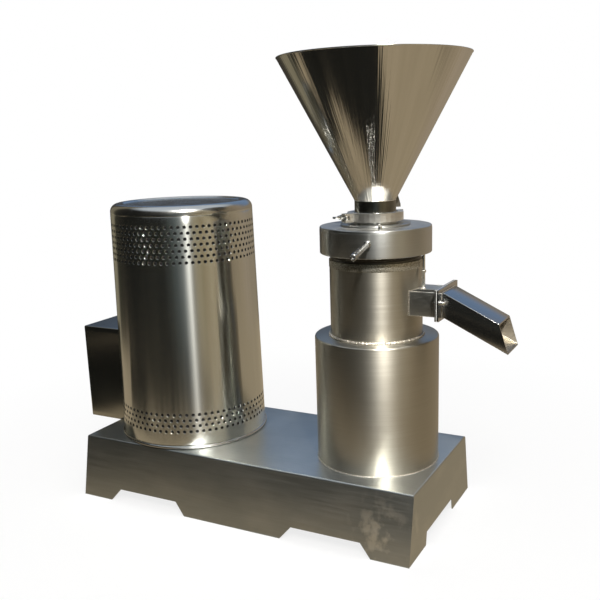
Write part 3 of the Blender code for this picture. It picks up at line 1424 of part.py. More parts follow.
def make_chute(steel):
    """The chute: a flange, a short straight stub and a square tube that slopes down to its open end."""
    half = DUCT_WIDTH / 2
    (low_y, low_z), (high_y, high_z) = flange_corners()
    tube = prism([(x, -half, z) for x, z in chute_outline(0, 0, 0)], (0, DUCT_WIDTH, 0))
    chute = add_object("chute", tube, steel)
    join(chute, "flange", block((CHUTE_FLANGE_X, low_y, low_z), (CHUTE_TUBE_X, high_y, high_z)))
    inner = half - CHUTE_WALL
    bore = prism(
        [(x, -inner, z) for x, z in chute_outline(CHUTE_WALL, OVERRUN, OVERRUN)], (0, 2 * inner, 0)
    )
    cut(chute, "bore", bore)
    drill_flange(chute, CHUTE_FLANGE_X - OVERRUN, CHUTE_TUBE_X + OVERRUN)


def add_flange_bolt(name, y, steel):
    """One bolt along X through both flanges, with its wing nut on the chute's side."""
    head = DUCT_FLANGE_X - SEAT_GAP
    place = (head, y, FLANGE_BOLT_HEIGHT)
    grip = CHUTE_TUBE_X - head
    add_object(
        f"outlet_bolt_{name}",
        turned(
            [
                (0, -FLANGE_BOLT_HEAD_HEIGHT),
                (FLANGE_BOLT_HEAD, -FLANGE_BOLT_HEAD_HEIGHT),
                (FLANGE_BOLT_HEAD, 0),
                (FLANGE_BOLT_RADIUS, 0),
                (FLANGE_BOLT_RADIUS, grip + FLANGE_BOLT_TAIL),
                (0, grip + FLANGE_BOLT_TAIL),
            ],
            BOLT_STEPS,
        ),
        steel, place, (0, math.pi / 2, 0),
    )
    nut = wing_nut(
        f"outlet_nut_{name}", FLANGE_NUT_RADIUS, FLANGE_BOLT_RADIUS, FLANGE_NUT_LENGTH,
        FLANGE_WING_SPAN, FLANGE_WING_THICKNESS, steel,
    )
    nut.location = (CHUTE_TUBE_X + SEAT_GAP, y, FLANGE_BOLT_HEIGHT)
    nut.rotation_euler = (0, math.pi / 2, 0)


def make_index_post(polished):
    """The upright post on the duct that marks the ring's place, with a collar and a thin side rod."""
    foot = DUCT_TOP_HEIGHT + SEAT_GAP
    top = RING_FOOT_HEIGHT - POST_CLEARANCE
    collar_half = POST_COLLAR_THICKNESS / 2
    x = MILL_X + POST_FROM_AXIS
    post = add_object(
        "index_post",
        turned(
            [
                (0, foot),
                (POST_RADIUS, foot),
                (POST_RADIUS, POST_COLLAR_HEIGHT - collar_half),
                (POST_COLLAR_RADIUS, POST_COLLAR_HEIGHT - collar_half),
                (POST_COLLAR_RADIUS, POST_COLLAR_HEIGHT + collar_half),
                (POST_RADIUS, POST_COLLAR_HEIGHT + collar_half),
                (POST_RADIUS, top),
                (0, top),
            ],
            SMALL_STEPS,
        ),
        polished, (x, 0, 0),
    )
    side_top = (0, -POST_SIDE_ROD_SPACING, POST_COLLAR_HEIGHT + collar_half)
    arm = block(
        (-POST_SIDE_ROD_RADIUS, -POST_SIDE_ROD_SPACING, POST_COLLAR_HEIGHT - collar_half / 2),
        (POST_SIDE_ROD_RADIUS, 0, POST_COLLAR_HEIGHT + collar_half / 2),
    )
    join(post, "arm", arm)
    join(post, "side_rod", rod(POST_SIDE_ROD_RADIUS, (0, -POST_SIDE_ROD_SPACING, foot), side_top, BOLT_STEPS))


def make_control_box(steel, plastic, chrome, red, green):
    """The switch box welded to the cover's side, its lid with two push buttons, and a cable gland."""
    half = BOX_WIDTH / 2
    inside = half - BOX_SHEET
    box = add_object(
        "control_box", block((BOX_LEFT, -half, BOX_FOOT_HEIGHT), (MOTOR_X, half, BOX_TOP_HEIGHT)), steel
    )
    back = MOTOR_X - COVER_FOOT_RADIUS - BOX_BACK_CLEARANCE
    room_low = BOX_FOOT_HEIGHT + BOX_SHEET
    room_high = BOX_TOP_HEIGHT - BOX_SHEET
    room = block((BOX_LEFT - OVERRUN, -inside, room_low), (back, inside, room_high))
    cut(box, "room", room)
    behind = block((back + BOX_SHEET, -inside, room_low), (MOTOR_X + OVERRUN, inside, room_high))
    cut(box, "behind", behind)
    low, high = BOX_FOOT_HEIGHT - OVERRUN, BOX_TOP_HEIGHT + OVERRUN
    bead = COVER_FOOT_RADIUS + COVER_BEAD + SEAT_GAP
    drum = turned(
        [
            (0, low),
            (bead, low),
            (bead, COVER_WALL_FOOT),
            (cover_radius(COVER_WALL_FOOT) + SEAT_GAP, COVER_WALL_FOOT),
            (cover_radius(high) + SEAT_GAP, high),
            (0, high),
        ]
    )
    cut(box, "drum", drum, (MOTOR_X, 0, 0))
    lid = add_object(
        "box_lid",
        block((LID_LEFT, -half, BOX_FOOT_HEIGHT), (LID_LEFT + LID_SHEET, half, BOX_TOP_HEIGHT)), steel,
    )
    for name, height, rise, colour in (
        ("start", START_BUTTON_HEIGHT, START_BUTTON_RISE, green),
        ("stop", START_BUTTON_HEIGHT - BUTTON_SPACING, STOP_BUTTON_RISE, red),
    ):
        hole = rod(
            BUTTON_HOLE_RADIUS, (LID_LEFT - OVERRUN, 0, height), (LID_LEFT + LID_SHEET + OVERRUN, 0, height)
        )
        cut(lid, f"{name}_hole", hole)
        make_button(name, height, rise, colour, chrome)
    contact_x = LID_LEFT + LID_SHEET + BARREL_DEPTH + SEAT_GAP
    contact_low = START_BUTTON_HEIGHT - BUTTON_SPACING - BEZEL_RADIUS - CONTACT_MARGIN / 2
    add_object(
        "contact_block",
        block(
            (contact_x, -CONTACT_WIDTH / 2, contact_low),
            (
                contact_x + CONTACT_DEPTH,
                CONTACT_WIDTH / 2,
                START_BUTTON_HEIGHT + BEZEL_RADIUS + CONTACT_MARGIN / 2,
            ),
        ),
        plastic,
    )
    make_gland(box, plastic)


def make_button(name, height, rise, colour, chrome):
    """A push button's bezel, which clamps in the lid, and its cap, which slides in the bezel."""
    place = (LID_LEFT, 0, height)
    turn = (0, -math.pi / 2, 0)
    bore = BUTTON_RADIUS + BUTTON_CLEARANCE
    seat = SEAT_GAP
    add_object(
        f"{name}_bezel",
        turned(
            [
                (bore, -LID_SHEET - BARREL_DEPTH),
                (BARREL_RADIUS, -LID_SHEET - BARREL_DEPTH),
                (BARREL_RADIUS, seat),
                (BEZEL_RADIUS, seat),
                (BEZEL_RADIUS - seat * 2, BEZEL_HEIGHT),
                (bore, BEZEL_HEIGHT),
            ],
            MEDIUM_STEPS,
        ),
        chrome, place, turn,
    )
    face = BEZEL_HEIGHT + rise
    add_object(
        f"{name}_button",
        turned(
            [
                (0, face - BUTTON_DEPTH),
                (BUTTON_RADIUS, face - BUTTON_DEPTH),
                (BUTTON_RADIUS, face - seat * 2),
                (BUTTON_RADIUS - seat * 2, face),
                (0, face),
            ],
            MEDIUM_STEPS,
        ),
        colour, place, turn,
    )


def make_gland(box, plastic):
    """The cable gland through the box's floor."""
    x = LID_LEFT + GLAND_SHARE * (BASE_LEFT - LID_LEFT)
    y = -BOX_WIDTH / 2 + GLAND_FROM_FRONT
    seat = BOX_FOOT_HEIGHT - SEAT_GAP
    hole = rod(
        GLAND_THREAD_RADIUS + SEAT_GAP,
        (x, y, BOX_FOOT_HEIGHT - OVERRUN), (x, y, BOX_FOOT_HEIGHT + BOX_SHEET + OVERRUN),
    )
    cut(box, "gland_hole", hole)
    add_object(
        "cable_gland",
        turned(
            [
                (GLAND_BORE_RADIUS, seat - GLAND_DROP),
                (GLAND_THREAD_RADIUS, seat - GLAND_DROP),
                (GLAND_RADIUS, seat - GLAND_NUT_HEIGHT),
                (GLAND_RADIUS, seat),
                (GLAND_THREAD_RADIUS, seat),
                (GLAND_THREAD_RADIUS, seat + GLAND_RISE),
                (GLAND_BORE_RADIUS, seat + GLAND_RISE),
            ],
            SMALL_STEPS,
        ),
        plastic, (x, y, 0),
    )


def main():
    clear_scene()
    mirror_steel = make_material("mirror_steel", (0.62, 0.60, 0.56), 0.08, 1.0)
    satin_steel = make_material("satin_steel", (0.55, 0.53, 0.49), 0.32, 1.0)
    tray_steel = make_material("tray_steel", (0.48, 0.46, 0.43), 0.38, 1.0)
    bright_steel = make_material("bright_steel", (0.72, 0.71, 0.69), 0.18, 1.0)
    tool_steel = make_material("tool_steel", (0.60, 0.60, 0.60), 0.25, 1.0)
    cast_iron = make_material("cast_iron", (0.10, 0.17, 0.24), 0.55, 0.1)
    black_rubber = make_material("black_rubber", (0.03, 0.03, 0.03), 0.75, 0.0)
    white_rubber = make_material("white_rubber", (0.75, 0.74, 0.70), 0.60, 0.0)
    black_plastic = make_material("black_plastic", (0.04, 0.04, 0.045), 0.45, 0.0)
    red_plastic = make_material("red_plastic", (0.60, 0.03, 0.02), 0.35, 0.0)
    green_plastic = make_material("green_plastic", (0.02, 0.35, 0.08), 0.35, 0.0)

    make_base(tray_steel)
    make_motor_pad(tray_steel)
    make_motor_cover(mirror_steel)
    make_motor(cast_iron, bright_steel, black_plastic)
    make_belt_drive(cast_iron, black_rubber)
    make_mill_body(satin_steel)
    make_bearings(cast_iron, bright_steel, black_rubber)
    make_chamber(satin_steel)
    make_rotor(tool_steel)
    make_spindle(bright_steel)
    make_stator(tool_steel)
    make_stator_holder(satin_steel)
    make_adjusting_ring(satin_steel, bright_steel)
    make_clamp(bright_steel, white_rubber)
    make_hopper(mirror_steel)
    make_outlet(satin_steel, white_rubber, satin_steel)
    make_index_post(bright_steel)
    make_control_box(satin_steel, black_plastic, bright_steel, red_plastic, green_plastic)


main()
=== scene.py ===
"""Looks and studio of a vertical nut butter mill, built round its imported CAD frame.

Every piece is made where it belongs, in metres, with Z up. Round pieces are turned from a
rounded half section, sheet pieces are folded from their outline and given their thickness.
"""

import json
import math

import bmesh
import bpy
from mathutils import Matrix, Vector

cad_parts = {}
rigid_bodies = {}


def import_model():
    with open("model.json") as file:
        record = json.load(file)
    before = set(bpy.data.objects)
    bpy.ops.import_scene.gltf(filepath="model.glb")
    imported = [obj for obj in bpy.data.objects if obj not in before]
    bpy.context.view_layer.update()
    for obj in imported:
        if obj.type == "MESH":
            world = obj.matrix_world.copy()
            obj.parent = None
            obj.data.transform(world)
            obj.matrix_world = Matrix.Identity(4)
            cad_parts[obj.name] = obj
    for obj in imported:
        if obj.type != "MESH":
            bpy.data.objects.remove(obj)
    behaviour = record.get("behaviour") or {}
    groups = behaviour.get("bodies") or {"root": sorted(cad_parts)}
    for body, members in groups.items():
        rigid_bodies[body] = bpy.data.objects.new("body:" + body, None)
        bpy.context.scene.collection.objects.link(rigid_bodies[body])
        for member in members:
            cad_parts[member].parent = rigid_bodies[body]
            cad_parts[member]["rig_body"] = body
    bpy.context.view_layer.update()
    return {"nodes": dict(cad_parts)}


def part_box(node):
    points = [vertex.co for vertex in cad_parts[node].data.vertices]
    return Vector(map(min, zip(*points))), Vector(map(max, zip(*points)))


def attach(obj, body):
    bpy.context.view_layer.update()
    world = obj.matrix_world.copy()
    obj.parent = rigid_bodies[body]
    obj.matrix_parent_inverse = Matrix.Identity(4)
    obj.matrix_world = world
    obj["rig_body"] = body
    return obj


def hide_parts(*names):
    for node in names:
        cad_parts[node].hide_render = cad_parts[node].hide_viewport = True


bl_info = {
    "name": "Nut Butter Mill",
    "version": (1, 0, 0),
    "blender": (4, 5, 0),
    "location": "View3D > Sidebar > Mill",
    "description": "Dresses the mill's CAD frame and sets it in a studio",
    "category": "Add Mesh",
}

FULL_TURN = 2 * math.pi
MERGE = 1e-6
SHARP_ANGLE = math.radians(32)
LARGE_STEPS = 120
MEDIUM_STEPS = 64
SMALL_STEPS = 32
GAP = 0.0003
WELD_WAVE = 2.4

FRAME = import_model()
NODES = FRAME["nodes"]


def middle_of(node):
    low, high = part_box(node)
    return (low + high) / 2


MOTOR_X = middle_of("motor_cover").x
MILL_X = middle_of("mill_body").x
MOTOR_AXIS = (MOTOR_X, 0, 0)
MILL_AXIS = (MILL_X, 0, 0)

# Base tray
BASE_LOW, BASE_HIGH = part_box("base_frame")
BASE_SHEET = 0.003
BASE_TOP_HALF = 0.204
BASE_FOLD = 0.0045
NOTCH_HEIGHT = 0.034
NOTCH_SLANT = 0.030
SIDE_NOTCH_LENGTH = 0.250
SIDE_FOOT_LENGTH = 0.098
END_FOOT_FRONT = 0.118
END_FOOT_BACK = 0.142
END_NOTCH_SLANT = 0.006
SHAFT_HOLE = 0.045
# Spot and colour of bright patches painted on the tray as reflections, near its front corner
REFLECTION_SPOT = ((0.385, -0.225, 0.075), 0.11)
REFLECTION_COLOUR = (0.80, 0.79, 0.74)
HOUSING_HOLE = 0.0578

# Motor cover
COVER_FOOT = 0.1693
COVER_WALL_FOOT = 0.1773
COVER_FOOT_RADIUS = 0.2055
COVER_TOP_RADIUS = 0.1950
COVER_TOP = 0.822
COVER_SHOULDER = 0.022
COVER_BEAD = 0.004
COVER_RIM = 0.163
COVER_PANEL = 0.159
COVER_PANEL_DEPTH = 0.004
COVER_COLUMNS = 150
COVER_SHEET = 0.0018
COVER_SHARP = math.radians(40)
FILTER_LAP = 0.006
HOLE_DISH = 0.0004
TOP_BAND = (0.6763, 0.7685, 7)
FOOT_BAND = (0.2178, 0.2645, 4)

# Mill body, chamber and ring
BODY_FOOT = 0.1693
BODY_RADIUS = 0.1571
BODY_TOP = 0.4944
BODY_WALL = 0.004
BODY_PLATE = 0.008
BODY_HOLE = 0.0578
CHAMBER_FOOT = 0.4947
CHAMBER_RADIUS = 0.1160
CHAMBER_WALL = 0.004
CHAMBER_FLOOR = 0.552
CHAMBER_BAND = (0.6785, 0.6880)
COLLAR_FOOT = 0.6695
NECK_RADIUS = 0.1105
NECK_WALL = 0.004
NECK_TOP = 0.752
THREAD_TURNS = 14
THREAD_DEPTH = 0.0012
SEAL_HOLE = 0.0323
WINDOW_LOW, WINDOW_HIGH = 0.5615, 0.6155
WINDOW_HALF = 0.047
RING_FOOT = 0.7038
RING_TOP = 0.7696
RING_RADIUS = 0.1386
RING_HOLE = 0.0765
RING_PLATE = 0.0106
HANDLE_Z = 0.740
HANDLE_ANGLE = math.radians(-75)
HANDLE_REACH = 0.205
HANDLE_ROOT = 0.0177
SCREW_SHANK = 0.0025
LOCK_SCREW_HEAD = 0.0050
CAP_SCREW_HEAD = (0.0045, 0.0035)

# Neck, clamp and hopper
THROAT_RADIUS = 0.047
HOLDER_FOOT = 0.577
HOLDER_RADIUS = 0.093
HOLDER_BORE = 0.0853
STATOR_SEAT = 0.6523
HUB_RADIUS = 0.0745
CAP_RING_RADIUS = 0.086
TUBE_RADIUS = 0.0545
FERRULE_RADIUS = 0.0595
FERRULE_JOINT = 0.7908
UPPER_FERRULE = 0.7926
FERRULE_RIM = 0.0053
FERRULE_SLOPE = 0.0023
CLAMP_MIDDLE = (FERRULE_JOINT + UPPER_FERRULE) / 2
CLAMP_ANGLE = math.radians(-125)
CLAMP_EAR = 0.086
HOPPER_NECK = 0.0508
HOPPER_FOOT = 0.8306
HOPPER_RADIUS = 0.2298
HOPPER_TOP = 1.1677
HOPPER_SHEET = 0.002
GUSSET_ANGLE = math.radians(40)
GUSSET_SHEET = 0.004

# Outlet
DUCT_HALF = 0.050
DUCT_LOW, DUCT_HIGH = 0.5585, 0.6185
DUCT_WALL = 0.003
FLANGE_HALF = 0.074
FLANGE_LOW, FLANGE_HIGH = 0.5535, 0.6295
FLANGE_THICK = 0.004
DUCT_FLANGE_X = MILL_X + 0.1775
CHUTE_FLANGE_X = DUCT_FLANGE_X + 0.0058
CHUTE_TUBE_X = CHUTE_FLANGE_X + FLANGE_THICK
CHUTE_STUB_X = CHUTE_TUBE_X + 0.006
CHUTE_SLOPE = math.tan(math.radians(26))
CHUTE_TOP_X = MILL_X + 0.324
CHUTE_FOOT_X = MILL_X + 0.3461
CHUTE_WALL = 0.0025
BOLT_Y = 0.0622
BOLT_Z = 0.597
BOLT_RADIUS = 0.0030
BOLT_THREAD = 0.0004
BOLT_HOLE = 0.0033
BOLT_HEAD_RADIUS = 0.0050
BOLT_HEAD_HEIGHT = 0.0045
BOLT_TAIL = 0.013
# Wing nuts: hub and thread radius, length, span and thickness of the wings
OUTLET_WING_NUT = (0.0050, BOLT_HOLE, 0.008, 0.0105, 0.0022)
CLAMP_WING_NUT = (0.0076, 0.0038, 0.0125, 0.0200, 0.0046)
POST_X = MILL_X + 0.1255
POST_RADIUS = 0.0034
POST_COLLAR_RADIUS = 0.0055
POST_COLLAR = (0.657, 0.663)
SIDE_ROD_RADIUS = 0.0018
SIDE_ROD_Y = -0.0105

# Switch box
BOX_LOW, BOX_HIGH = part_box("control_box")
LID_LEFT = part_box("box_lid")[0].x
LID_SHEET = 0.0025
START_Z = 0.380
STOP_Z = 0.320
BOX_CORNER = 0.004
BOX_WALL = 0.002
BOX_REAR = 0.2176
BUTTON_HOLE = 0.0112
BUTTON_RISES = {"start": 0.0008, "stop": 0.0045}
BEZEL_BORE = 0.0096
BEZEL_BARREL = 0.0109
BEZEL_DEPTH = 0.0185
BEZEL_RADIUS = 0.0145
BEZEL_HEIGHT = 0.0060
CAP_RADIUS = 0.0092
CAP_LENGTH = 0.014
LID_SCREW_HEAD = (0.0038, 0.0022)
GLAND_BORE = 0.0045
GLAND_BARREL = 0.0080
GLAND_DOME = 0.0104

# Yard that the steel shows: heights, colours, and outlines in X and Y
GROUND_HEIGHT = 0.0010
PATCH_HEIGHT = 0.0014
NEAR_GROUND = 2.2
FAR = 11.0
NEAR_COLOUR = (0.42, 0.34, 0.23)
DARK_COLOUR = (0.014, 0.014, 0.012)
DARK_GROUND = (
    (-2, -0.55), (-1.25, -0.3), (-0.95, -0.5), (-0.84, -0.84), (-0.76, -0.9), (-0.697, -0.928),
    (-0.594, -0.875), (-0.55, -0.925), (-0.433, -0.842), (-0.435, -0.949), (-0.353, -0.898),
    (-0.29, -0.929), (-0.171, -0.796), (-0.16, -0.931), (-0.079, -0.843), (-0.031, -0.939),
    (0.038, -0.857), (0.111, -0.893), (0.168, -0.754), (0.233, -0.818), (0.271, -0.741),
    (0.346, -0.772), (0.365, -0.634), (0.444, -0.664), (0.469, -0.604), (0.65, -0.47), (0.8, -0.45),
    (0.88, -0.6), (0.92, -0.8), (0.93, -1.15), (1.02, -1.65), (1.12, -1.92), (0.4, -2.15),
    (-0.4, -2.15), (-1.2, -1.8), (-1.8, -1.2),
)
STRIP_COLOUR = (0.03, 0.03, 0.025)
DARK_STRIP = ((-1.30, -0.60), (0.12, -0.57), (0.12, -0.60), (-1.30, -0.72))
# Bearing round the machine in degrees, and the yard's colour there
YARD_COLOURS = (
    (-180, (0.040, 0.038, 0.028)), (-172, (0.030, 0.028, 0.022)), (-164, (0.022, 0.021, 0.018)),
    (-155, (0.016, 0.016, 0.014)), (-92, (0.020, 0.021, 0.018)), (-80, (0.050, 0.056, 0.052)),
    (-68, (0.11, 0.13, 0.13)), (-61, (0.20, 0.22, 0.22)), (-52, (0.17, 0.18, 0.17)),
    (-46, (0.15, 0.14, 0.11)), (-40, (0.36, 0.31, 0.21)), (-34, (0.40, 0.34, 0.22)),
    (-26, (0.35, 0.28, 0.17)), (-15, (0.50, 0.42, 0.28)), (0, (0.36, 0.28, 0.18)),
    (24, (0.31, 0.25, 0.17)), (45, (0.40, 0.32, 0.22)), (60, (0.42, 0.34, 0.25)),
    (95, (0.33, 0.27, 0.19)), (110, (0.24, 0.20, 0.14)), (118, (0.05, 0.045, 0.035)),
    (147, (0.05, 0.045, 0.035)), (153, (0.26, 0.23, 0.16)), (168, (0.26, 0.23, 0.16)),
    (174, (0.05, 0.047, 0.035)), (180, (0.040, 0.038, 0.028)),
)
SKY_HEIGHTS = (2.3, 3.9)
SKY_SIDES = ((60, 86), (146, 133))
SKY_COLOUR = (0.22, 0.33, 0.52)
HIGH_SKY_HEIGHTS = (7.6, 9.2)
HIGH_SKY_COLOUR = (0.80, 0.87, 0.96)

# Floor, lamps and camera
FLOOR_SIZE = 14
FLOOR_COLOUR = (0.86, 0.86, 0.86, 1)
FLOOR_FADE = (0.6, 1.6)
FLOOR_SEEN = 0.80
WHITE = (1, 1, 1, 1)
LAMP_AIM = (0, 0, 0.4)
MAIN_LAMP_BEARING = math.radians(-57)
MAIN_LAMP_AWAY = 3.0
MAIN_LAMP_HEIGHT = 3.2
MAIN_LAMP_SIZE = 1.6
STEEL_LAMP_BEARING = math.radians(-50)
STEEL_LAMP_RISE = math.radians(50)
STEEL_LAMP_AWAY = 10.0
STEEL_LAMP_SIZE = 0.8
CAMERA_PLACE = (1.0503, -1.8093, 0.987)
CAMERA_YAW = 0.4794
CAMERA_PITCH = 0.2279
CAMERA_ROLL = -0.0291
CAMERA_LENS = 47.6
CAMERA_SENSOR = 36
CAMERA_SHIFT = (-0.0229, 0.0331)


# Meshes

def joined(*shapes):
    """Several loose meshes as one."""
    whole = bmesh.new()
    for shape in shapes:
        mesh = bpy.data.meshes.new("part")
        shape.to_mesh(mesh)
        shape.free()
        whole.from_mesh(mesh)
        bpy.data.meshes.remove(mesh)
    return whole


def rounded(shape, edges, radius, segments):
    bmesh.ops.bevel(
        shape, geom=edges, offset=radius, offset_type="OFFSET", segments=segments,
        profile=0.5, affect="EDGES", material=-1, clamp_overlap=True,
    )


def rounded_corners(shape, corners, segments=3):
    """Rounds each vertex of a flat outline by its own radius."""
    by_radius = {}
    for vert, radius in corners:
        if radius:
            by_radius.setdefault(radius, []).append(vert)
    for radius, verts in by_radius.items():
        bmesh.ops.bevel(
            shape, geom=verts, offset=radius, offset_type="OFFSET", segments=segments,
            profile=0.5, affect="VERTICES", material=-1, clamp_overlap=True,
        )


def turned(section, steps=LARGE_STEPS, at=(0, 0, 0), matrix=None):
    """A solid turned about Z from its half section, (radius, height, rounding) round the outline."""
    shape = bmesh.new()
    verts = [shape.verts.new((corner[0], 0, corner[1])) for corner in section]
    shape.faces.new(verts)
    rounded_corners(
        shape, [(vert, corner[2] if len(corner) > 2 else 0) for vert, corner in zip(verts, section)]
    )
    bmesh.ops.delete(shape, geom=list(shape.faces), context="FACES_ONLY")
    on_axis = [edge for edge in shape.edges if all(vert.co.x < MERGE for vert in edge.verts)]
    bmesh.ops.delete(shape, geom=on_axis, context="EDGES")
    return spun(shape, steps, at, matrix)


def spun(shape, steps, at=(0, 0, 0), matrix=None):
    bmesh.ops.spin(
        shape, geom=[*shape.verts, *shape.edges], cent=(0, 0, 0), axis=(0, 0, 1),
        angle=FULL_TURN, steps=steps, use_merge=True,
    )
    bmesh.ops.remove_doubles(shape, verts=shape.verts, dist=MERGE)
    if matrix is not None:
        bmesh.ops.transform(shape, matrix=matrix, verts=shape.verts)
    bmesh.ops.translate(shape, verts=shape.verts, vec=at)
    return shape


def profile(points):
    """An open line of (radius, height) points, ready to be spun."""
    shape = bmesh.new()
    verts = [shape.verts.new((radius, 0, height)) for radius, height in points]
    for first, second in zip(verts, verts[1:]):
        shape.edges.new((first, second))
    return shape


def arc(middle, radius, start, end, steps):
    angles = [start + (end - start) * step / steps for step in range(steps + 1)]
    return [(middle[0] + radius * math.cos(a), middle[1] + radius * math.sin(a)) for a in angles]


def new_verts(made):
    """The vertices that a mesh operator has made."""
    return [item for item in made["geom"] if isinstance(item, bmesh.types.BMVert)]


def swept(shape, along):
    """Gives a flat sheet its thickness along a vector."""
    made = bmesh.ops.extrude_face_region(shape, geom=list(shape.faces))
    bmesh.ops.translate(shape, verts=new_verts(made), vec=along)


def plate(points, along, radius=0.0, segments=2, corners=None):
    """A flat outline of 3-D points swept along a vector, with its edges rounded."""
    shape = bmesh.new()
    verts = [shape.verts.new(point) for point in points]
    shape.faces.new(verts)
    if corners:
        rounded_corners(shape, list(zip(verts, corners)))
    swept(shape, along)
    bmesh.ops.recalc_face_normals(shape, faces=shape.faces)
    if radius:
        folds = [edge for edge in shape.edges if edge.calc_face_angle(0) > SHARP_ANGLE]
        rounded(shape, folds, radius, segments)
    return shape


def slab(low, high, radius):
    """A rounded block between two corners."""
    corners = ((low[0], low[1]), (high[0], low[1]), (high[0], high[1]), (low[0], high[1]))
    return plate([(x, y, low[2]) for x, y in corners], (0, 0, high[2] - low[2]), radius)


def rod(radius, low, high, at):
    """A plain round rod standing on its axis."""
    return turned([(0, low), (radius, low), (radius, high), (0, high)], SMALL_STEPS, at)


def along_x(x, y, z, side=1):
    """A place whose own Z points along X, or against it for a side of -1."""
    return Matrix.Translation((x, y, z)) @ Matrix.Rotation(side * math.pi / 2, 4, "Y")


def rectangle(half, low, high):
    return [(-half, low), (half, low), (half, high), (-half, high)]


def rounded_loop(x, half, low, high, radius, segments=3, cuts=0, shortest=0.0):
    """A rounded rectangle across X as a loop of edges, those over a length cut up."""
    shape = bmesh.new()
    verts = [shape.verts.new((x, y, z)) for y, z in rectangle(half, low, high)]
    shape.faces.new(verts)
    rounded_corners(shape, [(vert, radius) for vert in verts], segments)
    if cuts:
        long_edges = [edge for edge in shape.edges if edge.calc_length() > shortest]
        bmesh.ops.subdivide_edges(shape, edges=long_edges, cuts=cuts)
    bmesh.ops.delete(shape, geom=list(shape.faces), context="FACES_ONLY")
    return shape


def hole_rim(shape, radius, segments, place):
    """Draws a round hole on a flat outline and gives its edges."""
    made = bmesh.ops.create_circle(shape, cap_ends=False, radius=radius, segments=segments, matrix=place)
    return list({edge for vert in made["verts"] for edge in vert.link_edges})


def pierced(shape, holes, radius, segments, normal, thickness):
    """Fills an outline across X round its holes, and gives the sheet its thickness."""
    outline = list(shape.edges)
    for place in holes:
        outline += hole_rim(shape, radius, segments, place)
    bmesh.ops.triangle_fill(
        shape, use_beauty=True, use_dissolve=False, edges=outline, normal=(normal, 0, 0)
    )
    swept(shape, (thickness, 0, 0))
    return shape


def shelled(shape, thickness):
    """Gives a folded sheet its thickness, on the inner side of its faces."""
    bmesh.ops.recalc_face_normals(shape, faces=shape.faces)
    bmesh.ops.solidify(shape, geom=list(shape.faces), thickness=thickness)


def bead(path, radius, sides, ripple):
    """A weld bead: a thin round body along a closed line of points, swelling by a share."""
    shape = bmesh.new()
    points = [Vector(point) for point in path]
    rings = []
    normal = None
    for number, point in enumerate(points):
        along = (points[(number + 1) % len(points)] - points[number - 1]).normalized()
        if normal is None:
            normal = along.orthogonal().normalized()
        normal = (normal - along * normal.dot(along)).normalized()
        across = along.cross(normal)
        swell = radius * (1 + ripple * math.sin(number * WELD_WAVE))
        rings.append([
            shape.verts.new(point + (normal * math.cos(turn) + across * math.sin(turn)) * swell)
            for turn in (FULL_TURN * side / sides for side in range(sides))
        ])
    for this_ring, next_ring in zip(rings, rings[1:] + rings[:1]):
        for side in range(sides):
            other = (side + 1) % sides
            shape.faces.new((this_ring[side], this_ring[other], next_ring[other], next_ring[side]))
    return shape


def round_bead(x, away, height, steps, radius, sides, ripple):
    """A weld bead round an upright axis at X."""
    angles = [FULL_TURN * step / steps for step in range(steps)]
    path = [(x + away * math.cos(angle), away * math.sin(angle), height) for angle in angles]
    return bead(path, radius, sides, ripple)


def thread(radius, depth, rise, low, high, turns):
    """Half section of a thread: a groove that runs out at every turn."""
    points = []
    for number in range(turns):
        foot = low + (high - low) * number / turns
        points += [(radius, foot), (radius - depth, foot + rise)]
    return points


def placed(name, shape, material):
    """Puts the mesh into the scene as an object."""
    mesh = bpy.data.meshes.new(name)
    shape.to_mesh(mesh)
    shape.free()
    mesh.materials.append(material)
    piece = bpy.data.objects.new(name, mesh)
    bpy.context.scene.collection.objects.link(piece)
    return piece


def dress(name, shape, finish, node, stands_for=True, sharp=SHARP_ANGLE):
    """Makes the mesh a piece that moves with a CAD node and, unless told otherwise, stands for it."""
    bmesh.ops.recalc_face_normals(shape, faces=shape.faces)
    piece = placed(name, shape, FINISHES[finish])
    piece.data.shade_smooth()
    piece.data.set_sharp_from_angle(angle=sharp)
    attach(piece, NODES[node]["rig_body"])
    if stands_for:
        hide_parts(node)
    return piece


def refinish(piece, finishes, choose):
    """Adds finishes to a piece and gives each face the one that is chosen for it, 0 for its first."""
    for finish in finishes:
        piece.data.materials.append(FINISHES[finish])
    for face in piece.data.polygons:
        face.material_index = choose(face)


# Finishes

def plain_finish(name, colour, roughness, metallic):
    material = bpy.data.materials.new(name)
    material.use_nodes = True
    shader = material.node_tree.nodes["Principled BSDF"]
    shader.inputs["Base Color"].default_value = (*colour, 1)
    shader.inputs["Roughness"].default_value = roughness
    shader.inputs["Metallic"].default_value = metallic
    material.diffuse_color = (*colour, 1)
    return material, material.node_tree, shader


def add_node(tree, kind, inputs, **settings):
    """A shader node with its settings, and each input set to a value or linked to an output."""
    node = tree.nodes.new("ShaderNode" + kind)
    for key, value in settings.items():
        setattr(node, key, value)
    for key, value in inputs.items():
        if isinstance(value, bpy.types.NodeSocket):
            tree.links.new(value, node.inputs[key])
        else:
            node.inputs[key].default_value = value
    return node


def maths(tree, operation, *values):
    return add_node(tree, "Math", dict(enumerate(values)), operation=operation).outputs["Value"]


def vectors(tree, operation, *values, result="Vector"):
    node = add_node(tree, "VectorMath", dict(enumerate(values)), operation=operation)
    return node.outputs[result]


def position(tree):
    return add_node(tree, "TexCoord", {}).outputs["Object"]


def noise(tree, place, detail):
    node = add_node(tree, "TexNoise", {"Vector": place, "Scale": 1.0, "Detail": detail})
    return node.outputs["Fac"]


def stretched_noise(tree, scale, detail=3.0):
    """Noise drawn out along the directions whose scale is small."""
    mapping = add_node(tree, "Mapping", {"Vector": position(tree), "Scale": scale})
    return noise(tree, mapping.outputs["Vector"], detail)


